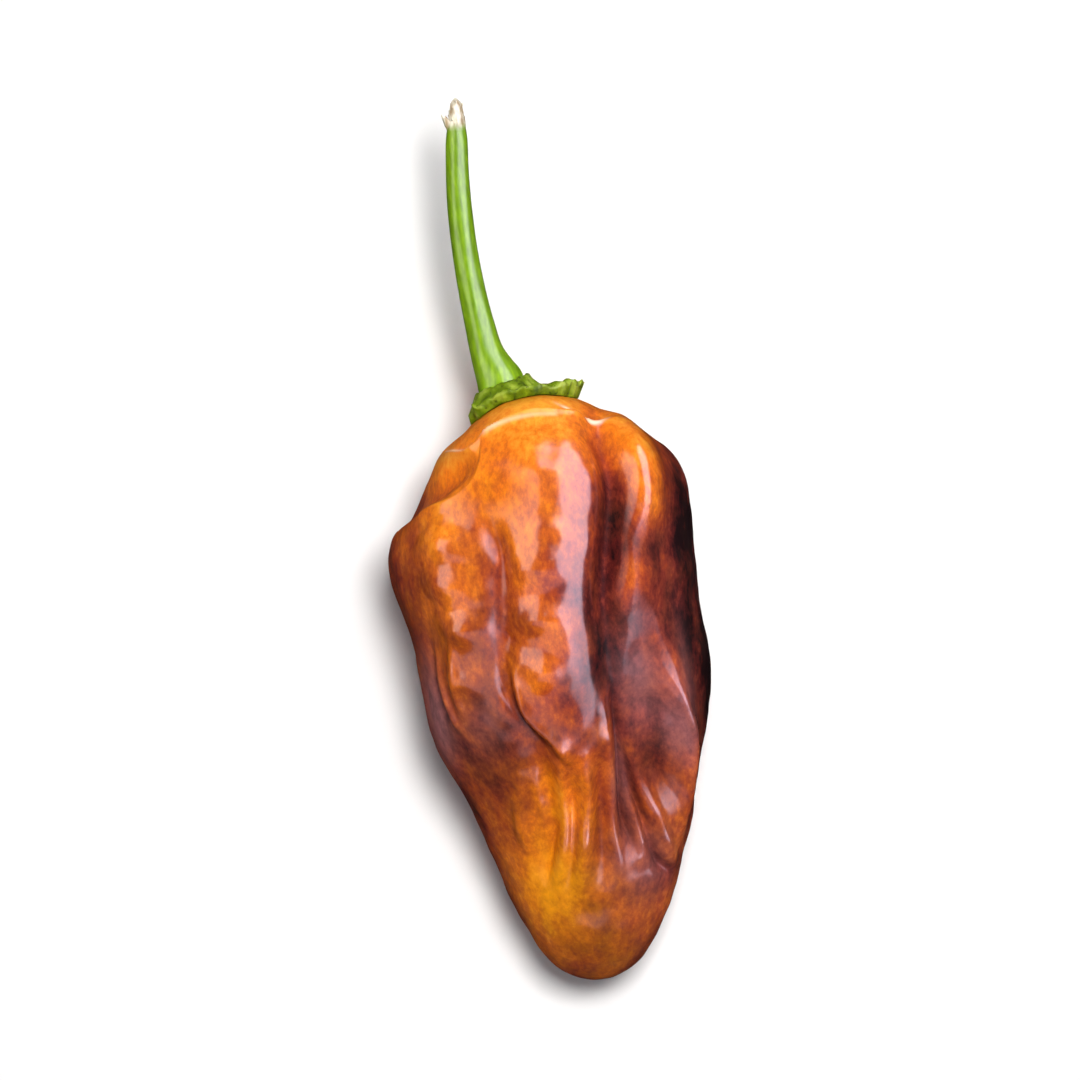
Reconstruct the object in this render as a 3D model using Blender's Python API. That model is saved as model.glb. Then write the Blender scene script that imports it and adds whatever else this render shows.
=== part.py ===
"""A chili pepper as picked, lying on its side: the pod, the calyx on its shoulder, and the stem.

Metres, +Z up. +Y runs from the pod's tip towards the stem, +X is the pod's right seen from above,
and the origin is the middle of the small flat spot that the pod rests on. Sizes are written in
millimetres and scaled once, where a mesh is made.

Two measures place everything on the pod. `s` is the distance from the shoulder's crest towards
the tip. The skin's own measures are `along`, the millimetres over the skin from the middle of the
stem cavity, and `angle`, which is 0 at the right edge, a quarter turn on top and half a turn left.
"""

import math
from typing import NamedTuple

import bmesh
import bpy
import numpy as np
from mathutils import Vector
from mathutils.bvhtree import BVHTree

MM = 0.001

# Driving dimensions
REST_STATION = 25.0
SECTION_POWER = 2.2
SAG_LEFT = 1.1
SAG_RIGHT = 0.7
SAG_RADIUS = 5.2
SAG_REACH = 2.6

# The pod's cross-sections: s, reach left and right, height of the middle, reach up and down
POD_SECTIONS = np.array((
    (1.3, 0.0, 0.0, 15.5, 0.0, 0.0),
    (1.1, 1.8, 1.8, 15.5, 1.8, 1.8),
    (0.45, 3.3, 3.3, 15.5, 3.2, 3.2),
    (0.0, 4.6, 4.7, 15.5, 4.6, 4.5),
    (0.5, 5.6, 5.8, 15.5, 6.1, 5.7),
    (1.8, 7.0, 7.2, 15.4, 8.0, 7.2),
    (4.0, 9.3, 9.8, 15.3, 10.2, 9.5),
    (6.8, 11.2, 13.3, 15.1, 11.8, 11.8),
    (9.5, 13.3, 14.7, 14.9, 12.6, 13.2),
    (13.0, 15.8, 14.9, 14.6, 13.0, 14.4),
    (17.0, 16.3, 14.8, 14.3, 13.2, 14.8),
    (22.0, 15.1, 14.7, 13.9, 13.3, 14.2),
    (28.0, 14.8, 14.9, 13.2, 12.8, 13.4),
    (34.0, 14.0, 14.2, 12.4, 11.6, 12.6),
    (40.0, 11.6, 12.4, 11.4, 10.1, 11.3),
    (46.0, 9.5, 10.6, 10.4, 8.6, 9.9),
    (52.0, 7.7, 8.0, 9.6, 6.9, 8.1),
    (56.0, 5.5, 5.6, 9.1, 5.3, 5.8),
    (58.2, 3.6, 3.8, 8.9, 3.6, 3.8),
    (59.4, 2.1, 2.1, 8.8, 2.1, 2.1),
    (59.9, 0.9, 0.9, 8.8, 0.9, 0.9),
    (60.0, 0.0, 0.0, 8.8, 0.0, 0.0),
))


class Form(NamedTuple):
    """A lobe, valley or fold of the skin, with its height, its width and where it runs."""
    shape: str
    height: float
    width: float
    path: tuple


# Forms of the upper half, each run given as (s, x, strength)
TOP_FORMS = (
    Form("swell", 1.7, 4.2, (
        (3.5, 1.4, 0.3), (8, 1.8, 1), (12, 1.5, 1), (17, 0.6, 1), (26, 0.3, 0.9), (35, 1, 0.8),
    )),
    Form("swell", 1.1, 3.4, (
        (11, -9.8, 0.4), (15, -10.4, 1), (22, -9.6, 0.9), (30, -9.4, 0.6), (37, -7.6, 0.2),
    )),
    Form("swell", 1.5, 2.9, (
        (4, 8.8, 0.6), (8, 9.8, 1), (12, 9.8, 1), (15, 9.2, 0.4), (19, 8.4, 0.7), (23, 8.2, 0.1),
    )),
    Form("swell", 1.2, 2.0, (
        (24, 9.2, 0.2), (28, 10.3, 0.8), (34, 11.2, 1), (40, 10.6, 1), (46, 9.2, 0.4),
    )),
    Form("groove", 2.1, 1.5, (
        (2.8, 6.2, 0.3), (6, 6.9, 1), (10, 7.3, 1), (15, 6.3, 1), (21, 5, 0.8), (28, 4.6, 0.5),
    )),
    Form("groove", 0.7, 1.2, (
        (11, -5.4, 0.4), (15, -5, 1), (20, -5.1, 0.9), (24, -5.5, 0.8), (29, -5.9, 0.5),
    )),
    Form("groove", 1.5, 2.2, ((5.0, -6.2, 0.3), (6.4, -8.3, 1), (7.8, -10.8, 1), (9.3, -13.4, 0.6))),
    Form("fold", 0.7, 1.6, (
        (4.6, -5.4, 0.2), (7.4, -6.4, 1), (9.1, -8.6, 1), (10.1, -11.6, 1), (11.5, -14.4, 0.4),
    )),
    Form("fold", 0.6, 1.5, (
        (3.4, 7, 0.5), (2.2, 3.4, 1), (1.8, -0.5, 1), (2.7, -4, 1), (4.4, -7, 0.9), (4.2, -9, 0.3),
    )),
    Form("fold", 1.2, 1.7, (
        (25, -5.3, 0), (28.6, -5.1, 0.7), (31.4, -4.4, 1), (34, -2.6, 0.9), (37, -0.6, 0),
    )),
    Form("groove", 1.1, 2.8, ((28, 7.6, 0.5), (33, 7.6, 1), (38, 8, 0.8), (43, 8, 0.2))),
    Form("crease", 1.7, 1.5, (
        (29, 4.7, 0.2), (34, 4.6, 1), (39, 4.5, 1), (44, 4.4, 0.8), (47.5, 5.6, 0.2),
    )),
    Form("fold", 0.9, 1.2, ((38, 5.6, 0.3), (43.5, 6.4, 1), (48, 7.3, 1), (49.6, 8.4, 0.2))),
    Form("groove", 0.9, 1.3, ((33, -3.6, 0.3), (37, -3.1, 1), (43, -3.2, 0.8), (49, -4.8, 0.2))),
    Form("swell", 0.7, 1.2, ((36.5, 1.3, 0.4), (41, 0.8, 1), (45, -0.2, 1), (50, -1.6, 0.3))),
)

# Forms of the sides and the underside, each run given as (s, degrees round from the right edge, strength)
SIDE_FORMS = (
    Form("swell", 1.0, 4.0, ((7, 218, 0.5), (15, 222, 1), (27, 220, 0.8), (40, 226, 0.2))),
    Form("swell", 1.0, 4.0, ((7, 318, 0.5), (15, 320, 1), (27, 322, 0.8), (40, 318, 0.2))),
    Form("groove", 1.6, 2.4, ((3, 246, 0.3), (10, 246, 1), (24, 244, 1), (40, 248, 0.2))),
    Form("groove", 1.6, 2.4, ((3, 292, 0.3), (10, 294, 1), (24, 296, 1), (38, 292, 0.2))),
    Form("groove", 1.2, 2.2, ((6, 348, 0.3), (13, 346, 1), (26, 350, 0.5), (34, 352, 0.1))),
    Form("groove", 1.0, 2.2, ((11, 192, 0.2), (18, 196, 0.8), (27, 194, 1), (38, 190, 0.2))),
)

# A fold's step is this steep, and the hollow before its lip is this deep and wide beside the lip
FOLD_STEP = 0.5
FOLD_HOLLOW = 0.5

# A form's run is read at this many places, then spaced evenly over the skin
RUN_POINTS = 200
RUN_SPACING = 0.4

# The calyx: its rim, the tilted seat that the stem stands on, and its lie on the pod
CALYX_RIM_RADIUS = 5.5
CALYX_RIM_S = -0.85
CALYX_LEFT_DROP = 2.6
CALYX_DROP_POWER = 4
CALYX_EDGE = 0.55
CALYX_EDGE_SHARE = 0.12
CALYX_FLARE = 1.1
CALYX_GAP = 0.45
SEAT_X = -2.6
SEAT_S = -1.45
SEAT_TILT = 0.26
SEAT_RADIUS = 2.7
SEAT_BLEND = 1.6
SHOULDER_HEIGHT = 15.5


class Tooth(NamedTuple):
    """A blunt tooth of the calyx's rim: where it is, its reach round, and how far it sticks out and up."""
    degrees: float
    reach: float
    outward: float
    upward: float


CALYX_TEETH = (
    Tooth(0, 10, 0.25, 0.1),
    Tooth(42, 9, 0.2, 0.3),
    Tooth(85, 12, 0.3, 0.2),
    Tooth(122, 9, 0.2, 0.25),
    Tooth(157, 10, 0.9, 0.9),
    Tooth(182, 9, 0.8, 0.0),
    Tooth(222, 14, 0.4, 0.2),
    Tooth(262, 13, 0.3, 0.3),
    Tooth(300, 12, 0.35, 0.2),
    Tooth(332, 10, 0.3, 0.2),
)

# The stem's middle line as (s, x, height, radius), from its foot to its torn end
STEM_SECTIONS = np.array((
    (-1.80, -2.62, 15.5, 0.0),
    (-1.84, -2.63, 15.5, 1.2),
    (-1.95, -2.67, 15.5, 2.1),
    (-2.3, -2.78, 15.5, 2.4),
    (-3.2, -3.08, 15.5, 2.15),
    (-5.0, -3.6, 15.6, 1.75),
    (-8.0, -4.0, 15.8, 1.52),
    (-12.0, -4.4, 16.1, 1.38),
    (-16.0, -4.6, 16.4, 1.3),
    (-20.0, -4.55, 16.7, 1.25),
    (-24.0, -4.28, 17.0, 1.16),
    (-27.4, -3.92, 17.3, 1.05),
    (-28.6, -3.8, 17.35, 0.88),
    (-29.8, -3.68, 17.4, 0.7),
    (-30.7, -3.6, 17.45, 0.45),
    (-31.2, -3.58, 17.45, 0.0),
))
STEM_MARKED_STEP = 0.3
STEM_RIDGES = 5
STEM_RIDGE_HEIGHT = 0.05
STEM_TWIST = 0.8

# How finely each piece is meshed
POD_SIDES, POD_RINGS = 84, 66
CALYX_SIDES, CALYX_RINGS = 48, 20
STEM_SIDES, STEM_RINGS = 20, 44

# The pod's faces lie closer together on top, where its folds are sharper
POD_CROWD = 0.35


def marks_along(rows, reach):
    """Distances over a profile's rows, from their places `rows` and their reaches from the middle."""
    steps = np.diff(np.column_stack((rows, reach)), axis=0)
    return np.concatenate(((0.0,), np.cumsum(np.linalg.norm(steps, axis=1))))


def smooth_rows(rows, marks, at):
    """Rows read at distances `at` from a smooth curve that passes through `rows` at their marks."""
    slopes = np.gradient(rows, marks, axis=0)
    first = np.clip(np.searchsorted(marks, at, side="right") - 1, 0, len(marks) - 2)
    span = (marks[first + 1] - marks[first])[:, None]
    t = (at - marks[first])[:, None] / span
    start, end = rows[first], rows[first + 1]
    bend = slopes[first] * span * t * (1 - t) ** 2 - slopes[first + 1] * span * t * t * (1 - t)
    return start + (end - start) * t * t * (3 - 2 * t) + bend


POD_MARKS = marks_along(POD_SECTIONS[:, :1], POD_SECTIONS[:, (1, 2, 4, 5)].mean(axis=1))
CREST_ROW = int(np.argmin(POD_SECTIONS[:, 0]))


def plain_skin(along, angle):
    """Points of the pod without its lobes and folds."""
    s, left, right, middle, up, down = smooth_rows(POD_SECTIONS, POD_MARKS, along).T
    cosine, sine = np.cos(angle), np.sin(angle)
    across = np.sign(cosine) * np.abs(cosine) ** (2 / SECTION_POWER)
    high = np.sign(sine) * np.abs(sine) ** (2 / SECTION_POWER)
    sag = np.where(cosine < 0, SAG_LEFT, SAG_RIGHT) * cosine ** 2
    sag = sag * np.exp(-((left - SAG_RADIUS) / SAG_REACH) ** 2)
    return np.column_stack((
        across * np.where(cosine > 0, right, left),
        REST_STATION - s - sag,
        middle + high * np.where(sine > 0, up, down),
    ))


def skin_normals(along, angle, step=0.05):
    """Outward directions of the plain skin."""
    along = np.clip(along, step * 2, POD_MARKS[-1] - step * 2)
    round_it = plain_skin(along, angle + step) - plain_skin(along, angle - step)
    down_it = plain_skin(along + step, angle) - plain_skin(along - step, angle)
    normals = np.cross(round_it, down_it)
    return normals / np.linalg.norm(normals, axis=1)[:, None]


def along_at(s):
    """The skin's own measure at distances s from the shoulder."""
    table = np.linspace(POD_MARKS[CREST_ROW], POD_MARKS[-1], 400)
    return np.interp(s, smooth_rows(POD_SECTIONS, POD_MARKS, table)[:, 0], table)


def angle_from_above(along, x):
    """The angle of the upper half's points that lie at x, seen from above."""
    section = smooth_rows(POD_SECTIONS, POD_MARKS, along)
    reach = np.where(x < 0, section[:, 1], section[:, 2])
    return np.arccos(np.sign(x) * np.clip(np.abs(x) / reach, 0.0, 1.0) ** (SECTION_POWER / 2))


def girth_at(along):
    """The pod's mean reach from its middle."""
    return smooth_rows(POD_SECTIONS, POD_MARKS, along)[:, (1, 2, 4, 5)].mean(axis=1)


def run_of(form):
    """A form's run, closely spaced, as (along, angle, strength)."""
    rows = np.array(form.path, dtype=float)
    marks = marks_along(rows[:, :1], rows[:, 1])
    s, aside, strength = smooth_rows(rows, marks, np.linspace(0.0, marks[-1], RUN_POINTS)).T
    along = along_at(s)
    angle = np.radians(aside) if form in SIDE_FORMS else angle_from_above(along, aside)
    marks = marks_along(along[:, None], angle * girth_at(along))
    even = np.arange(0.0, marks[-1], RUN_SPACING)
    return [np.interp(even, marks, row) for row in (along, angle, np.clip(strength, 0.0, 1.0))]


def fold_profile(offset, width):
    """A lip on the left hand of who walks the run, which falls away behind it, and a hollow before it."""
    lip = 0.5 + 0.5 * np.tanh(offset / FOLD_STEP)
    behind = lip * np.exp(-np.maximum(offset, 0.0) / width)
    before = (1 - lip) * FOLD_HOLLOW * np.exp(np.minimum(offset, 0.0) / (FOLD_HOLLOW * width))
    return behind - before


PROFILES = {
    "swell": lambda offset, width: np.exp(-(offset / width) ** 2),
    "groove": lambda offset, width: -np.exp(-(offset / width) ** 2),
    "crease": lambda offset, width: -np.exp(-np.abs(offset) / width),
    "fold": fold_profile,
}


def form_height(form, along, angle, girth):
    """How far one form lifts or sinks the skin at each point."""
    run_along, run_angle, strength = run_of(form)
    ahead = along[:, None] - run_along
    turn = np.remainder(angle[:, None] - run_angle + math.pi, 2 * math.pi) - math.pi
    aside = turn * girth[:, None]
    nearest = np.argmin(np.hypot(ahead, aside), axis=1)
    point = np.arange(len(along))
    ahead, aside = ahead[point, nearest], aside[point, nearest]
    heading = np.array((np.gradient(run_along)[nearest], np.gradient(run_angle)[nearest] * girth))
    heading /= np.linalg.norm(heading, axis=0)
    across = ahead * heading[1] - aside * heading[0]
    past = np.maximum(np.abs(ahead * heading[0] + aside * heading[1]) - RUN_SPACING / 2, 0.0)
    offset = np.copysign(np.hypot(across, past), across)
    return form.height * strength[nearest] * PROFILES[form.shape](offset, form.width)


def pod_skin(share, angle):
    """Points of the pod: the plain skin with its forms, flat where it would pass below the ground."""
    angle = angle + POD_CROWD * np.cos(angle)
    along = share * POD_MARKS[-1]
    girth = girth_at(along)
    lift = sum(form_height(form, along, angle, girth) for form in TOP_FORMS + SIDE_FORMS)
    lift = lift * np.clip(girth / SAG_RADIUS, 0.0, 1.0) ** 2
    points = plain_skin(along, angle) + skin_normals(along, angle) * lift[:, None]
    points[:, 2] = np.maximum(points[:, 2], 0.0)
    return points


def closed_body(name, sides, rings, place, colour, roughness):
    """A closed body: a ball whose points go where place() puts their share of its length and angle."""
    bm = bmesh.new()
    bmesh.ops.create_uvsphere(bm, u_segments=sides, v_segments=rings, radius=1.0)
    ball = np.array([vert.co for vert in bm.verts])
    share = np.arccos(np.clip(ball[:, 2], -1.0, 1.0)) / math.pi
    points = place(share, np.arctan2(-ball[:, 1], ball[:, 0])) * MM
    for vert, point in zip(bm.verts, points):
        vert.co = point
    mesh = bpy.data.meshes.new(name)
    bm.to_mesh(mesh)
    bm.free()
    mesh.shade_smooth()
    mesh.materials.append(plain_material(name, colour, roughness))
    body = bpy.data.objects.new(name, mesh)
    bpy.context.scene.collection.objects.link(body)
    return body


def plain_material(name, colour, roughness):
    """A plain finish for one piece."""
    material = bpy.data.materials.new(name)
    material.use_nodes = True
    shader = material.node_tree.nodes["Principled BSDF"]
    shader.inputs["Base Color"].default_value = (*colour, 1.0)
    shader.inputs["Roughness"].default_value = roughness
    shader.inputs["Metallic"].default_value = 0.0
    return material


def make_pod():
    """The fruit, from the middle of its stem cavity to its tip."""
    return closed_body("pod", POD_SIDES, POD_RINGS, pod_skin, (0.50, 0.14, 0.02), 0.25)


def calyx_rim(angle):
    """Radius and s of the calyx's toothed rim, which droops on the left."""
    radius = np.full(len(angle), CALYX_RIM_RADIUS)
    s = CALYX_RIM_S + CALYX_LEFT_DROP * np.clip(-np.cos(angle), 0.0, 1.0) ** CALYX_DROP_POWER
    for tooth in CALYX_TEETH:
        turn = np.remainder(np.degrees(angle) - tooth.degrees + 180, 360) - 180
        here = np.exp(-(turn / tooth.reach) ** 2)
        radius = radius + tooth.outward * here
        s = s - tooth.upward * here
    return radius, s


def seat_height(x):
    """s of the tilted seat that the stem stands on."""
    return SEAT_S - SEAT_TILT * (x - SEAT_X)


def pod_below(tree, x, height):
    """s of the pod's skin under a point of its shoulder."""
    above = Vector((x * MM, (REST_STATION + CALYX_RIM_RADIUS * 2) * MM, height * MM))
    hit = tree.ray_cast(above, Vector((0.0, -1.0, 0.0)))[0]
    return REST_STATION - hit.y / MM


def calyx_skin(share, angle, tree):
    """Points of the calyx, whose underside keeps just clear of the pod."""
    upper = share <= 0.5
    out = np.where(upper, share * 2, 2 - share * 2)
    radius, rim_s = calyx_rim(angle)
    start = np.where(upper, SEAT_X, 0.0)
    x = start * (1 - out) + radius * np.cos(angle) * out
    height = SHOULDER_HEIGHT + radius * np.sin(angle) * out
    from_seat = np.hypot(x - SEAT_X, height - SHOULDER_HEIGHT)
    blend = np.clip((from_seat - SEAT_RADIUS) / SEAT_BLEND, 0.0, 1.0)
    blend = blend * blend * (3 - 2 * blend)
    top = seat_height(x) * (1 - blend) + rim_s * blend
    thickness = CALYX_EDGE * np.minimum((1 - out) / CALYX_EDGE_SHARE, 1.0)
    below = np.array([pod_below(tree, *spot) for spot in zip(x, height)])
    under = np.minimum(rim_s + thickness + CALYX_FLARE * radius * (1 - out), below - CALYX_GAP)
    top = np.minimum(top, under - thickness)
    return np.column_stack((x, REST_STATION - np.where(upper, top, under), height))


def make_calyx(pod):
    """The collar of sepals on the pod's shoulder."""
    tree = BVHTree.FromObject(pod, bpy.context.evaluated_depsgraph_get())
    return closed_body(
        "calyx", CALYX_SIDES, CALYX_RINGS, lambda share, angle: calyx_skin(share, angle, tree),
        (0.16, 0.30, 0.03), 0.55,
    )


def stem_skin(share, angle):
    """Points of the stem: low ridges that turn a little on their way to the torn end."""
    marks = marks_along(STEM_SECTIONS[:, :3], STEM_SECTIONS[:, 3])
    along = (1 - share) * marks[-1]
    ends = [
        smooth_rows(STEM_SECTIONS, marks, np.clip(along + step, 0.0, marks[-1]))[:, :3]
        for step in (-STEM_MARKED_STEP, STEM_MARKED_STEP)
    ]
    heading = (ends[1] - ends[0])[:, (1, 0, 2)] * (1, -1, 1)
    heading = heading / np.linalg.norm(heading, axis=1)[:, None]
    right = np.cross(heading, (0.0, 0.0, 1.0))
    right = right / np.linalg.norm(right, axis=1)[:, None]
    up = np.cross(right, heading)
    s, x, height, radius = smooth_rows(STEM_SECTIONS, marks, along).T
    ridges = 1 + STEM_RIDGE_HEIGHT * np.cos(STEM_RIDGES * angle + STEM_TWIST * along / marks[-1] * math.pi)
    radius = (np.maximum(radius, 0.0) * ridges)[:, None]
    round_it = right * np.cos(angle)[:, None] + up * np.sin(angle)[:, None]
    return np.column_stack((x, REST_STATION - s, height)) + radius * round_it


def make_stem():
    """The stalk, standing on the calyx's seat."""
    return closed_body("stem", STEM_SIDES, STEM_RINGS, stem_skin, (0.33, 0.52, 0.06), 0.45)


def main():
    for old in list(bpy.data.objects):
        bpy.data.objects.remove(old, do_unlink=True)
    pod = make_pod()
    make_calyx(pod)
    make_stem()


main()
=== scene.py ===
"""The looks of a chili pepper that lies on its side: a lobed, glossy pod, its leafy calyx and its stem.

The pepper's own measures are millimetres. `s` is the distance from the pod's shoulder towards its
tip, x is across the pod as seen from above, and an angle goes round the pod: 0 at its right edge, a
quarter turn on top, half a turn at its left edge. Meshes are scaled to metres where they are made.
"""
import math
from typing import NamedTuple

import bmesh
import bpy
import numpy as np
from bpy.props import FloatProperty, FloatVectorProperty, IntProperty, PointerProperty
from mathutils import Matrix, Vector, noise
from mathutils.bvhtree import BVHTree


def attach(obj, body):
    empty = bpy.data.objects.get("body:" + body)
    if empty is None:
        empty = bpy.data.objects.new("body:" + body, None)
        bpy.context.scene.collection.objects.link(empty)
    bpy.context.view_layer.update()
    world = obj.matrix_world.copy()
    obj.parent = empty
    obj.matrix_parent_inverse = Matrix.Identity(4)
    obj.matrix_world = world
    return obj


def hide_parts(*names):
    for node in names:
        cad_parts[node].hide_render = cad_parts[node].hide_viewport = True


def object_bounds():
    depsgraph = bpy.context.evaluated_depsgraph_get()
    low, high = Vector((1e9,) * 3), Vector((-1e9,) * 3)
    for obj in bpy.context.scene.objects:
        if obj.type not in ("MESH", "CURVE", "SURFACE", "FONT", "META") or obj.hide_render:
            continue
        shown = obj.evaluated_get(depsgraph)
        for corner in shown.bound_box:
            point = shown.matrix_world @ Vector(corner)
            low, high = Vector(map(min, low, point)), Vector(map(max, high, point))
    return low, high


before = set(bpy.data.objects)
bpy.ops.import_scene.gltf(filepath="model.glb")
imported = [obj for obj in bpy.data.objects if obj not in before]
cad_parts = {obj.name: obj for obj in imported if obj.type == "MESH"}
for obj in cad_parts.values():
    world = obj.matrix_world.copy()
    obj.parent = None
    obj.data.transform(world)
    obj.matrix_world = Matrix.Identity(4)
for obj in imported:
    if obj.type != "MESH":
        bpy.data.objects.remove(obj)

bl_info = {
    "name": "Chili Pepper",
    "version": (1, 0, 0),
    "blender": (4, 5, 0),
    "location": "View3D > Sidebar > Pepper",
    "description": "Makes a lobed chili pepper with its calyx and stem, and a pale studio round it",
    "category": "Add Mesh",
}

CAD_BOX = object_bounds()
BODY = "root"
MM = 0.001

# The s of the spot that the pod rests on, which is at y 0
REST_STATION = 25.0

# How square the pod's sections are, and how its shoulder's sides sag towards the tip
SECTION_POWER = 2.2
SAG_LEFT = 1.1
SAG_RIGHT = 0.7
SAG_RADIUS = 5.2
SAG_REACH = 2.6

# The pod's plain shape: s, reach left and right, height of the middle, reach up and down
POD_SECTIONS = np.array((
    (1.3, 0.0, 0.0, 15.5, 0.0, 0.0),
    (1.1, 1.8, 1.8, 15.5, 1.8, 1.8),
    (0.45, 3.3, 3.3, 15.5, 3.2, 3.2),
    (0.0, 4.6, 4.7, 15.5, 4.6, 4.5),
    (0.5, 5.6, 5.8, 15.5, 6.1, 5.7),
    (1.8, 7.0, 7.2, 15.4, 8.0, 7.2),
    (4.0, 9.3, 9.8, 15.3, 10.2, 9.5),
    (6.8, 11.2, 13.3, 15.1, 11.8, 11.8),
    (9.5, 13.3, 14.7, 14.9, 12.6, 13.2),
    (13.0, 15.8, 14.9, 14.6, 13.0, 14.4),
    (17.0, 16.3, 14.8, 14.3, 13.2, 14.8),
    (22.0, 15.1, 14.7, 13.9, 13.3, 14.2),
    (28.0, 14.8, 14.9, 13.2, 12.8, 13.4),
    (34.0, 14.0, 14.2, 12.4, 11.6, 12.6),
    (40.0, 11.6, 12.4, 11.4, 10.1, 11.3),
    (46.0, 9.5, 10.6, 10.4, 8.6, 9.9),
    (52.0, 7.7, 8.0, 9.6, 6.9, 8.1),
    (56.0, 5.5, 5.6, 9.1, 5.3, 5.8),
    (58.2, 3.6, 3.8, 8.9, 3.6, 3.8),
    (59.4, 2.1, 2.1, 8.8, 2.1, 2.1),
    (59.9, 0.9, 0.9, 8.8, 0.9, 0.9),
    (60.0, 0.0, 0.0, 8.8, 0.0, 0.0),
))


class Form(NamedTuple):
    """A lobe, valley or fold of the skin, with its height, its width and where it runs."""
    shape: str
    height: float
    width: float
    path: tuple


def maker_of(shape):
    """A function that makes forms of one shape from a height, a width and the places of their run."""
    return lambda height, width, *path: Form(shape, height, width, path)


swell, groove, crease, fold = map(maker_of, ("swell", "groove", "crease", "fold"))

# Lobes, valleys and folds of the upper half, each run given as (s, x, strength)
TOP_FORMS = (
    swell(1.7, 4.2, (3.5, 1.4, 0.3), (8, 1.8, 1), (12, 1.5, 1), (17, 0.6, 1), (26, 0.3, 0.9),
          (35, 1, 0.8)),
    swell(1.1, 3.4, (11, -9.8, 0.4), (15, -10.4, 1), (22, -9.6, 0.9), (30, -9.4, 0.6), (37, -7.6, 0.2)),
    swell(1.5, 2.9, (4, 8.8, 0.6), (8, 9.8, 1), (12, 9.8, 1), (15, 9.2, 0.4), (19, 8.4, 0.7),
          (23, 8.2, 0.1)),
    swell(1.2, 2.0, (24, 9.2, 0.2), (28, 10.3, 0.8), (34, 11.2, 1), (40, 10.6, 1), (46, 9.2, 0.4)),
    groove(2.1, 1.5, (2.8, 6.2, 0.3), (6, 6.9, 1), (10, 7.3, 1), (15, 6.3, 1), (21, 5, 0.8),
           (28, 4.6, 0.5)),
    groove(0.7, 1.2, (11, -5.4, 0.4), (15, -5, 1), (20, -5.1, 0.9), (24, -5.5, 0.8), (29, -5.9, 0.5)),
    groove(1.5, 2.2, (5.0, -6.2, 0.3), (6.4, -8.3, 1), (7.8, -10.8, 1), (9.3, -13.4, 0.6)),
    fold(0.7, 1.6, (4.6, -5.4, 0.2), (7.4, -6.4, 1), (9.1, -8.6, 1), (10.1, -11.6, 1),
         (11.5, -14.4, 0.4)),
    fold(0.6, 1.5, (3.4, 7, 0.5), (2.2, 3.4, 1), (1.8, -0.5, 1), (2.7, -4, 1), (4.4, -7, 0.9),
         (4.2, -9, 0.3)),
    fold(1.2, 1.7, (25, -5.3, 0), (28.6, -5.1, 0.7), (31.4, -4.4, 1), (34, -2.6, 0.9), (37, -0.6, 0)),
    groove(1.1, 2.8, (28, 7.6, 0.5), (33, 7.6, 1), (38, 8, 0.8), (43, 8, 0.2)),
    crease(1.7, 1.5, (29, 4.7, 0.2), (34, 4.6, 1), (39, 4.5, 1), (44, 4.4, 0.8), (47.5, 5.6, 0.2)),
    fold(0.9, 1.2, (38, 5.6, 0.3), (43.5, 6.4, 1), (48, 7.3, 1), (49.6, 8.4, 0.2)),
    groove(0.9, 1.3, (33, -3.6, 0.3), (37, -3.1, 1), (43, -3.2, 0.8), (49, -4.8, 0.2)),
    swell(0.7, 1.2, (36.5, 1.3, 0.4), (41, 0.8, 1), (45, -0.2, 1), (50, -1.6, 0.3)),
)

# Forms of the sides and the underside, each run given as (s, degrees round, strength)
SIDE_FORMS = (
    swell(1.0, 4.0, (7, 218, 0.5), (15, 222, 1), (27, 220, 0.8), (40, 226, 0.2)),
    swell(1.0, 4.0, (7, 318, 0.5), (15, 320, 1), (27, 322, 0.8), (40, 318, 0.2)),
    groove(1.6, 2.4, (3, 246, 0.3), (10, 246, 1), (24, 244, 1), (40, 248, 0.2)),
    groove(1.6, 2.4, (3, 292, 0.3), (10, 294, 1), (24, 296, 1), (38, 292, 0.2)),
    groove(1.2, 2.2, (6, 348, 0.3), (13, 346, 1), (26, 350, 0.5), (34, 352, 0.1)),
    groove(1.0, 2.2, (11, 192, 0.2), (18, 196, 0.8), (27, 194, 1), (38, 190, 0.2)),
)

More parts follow.
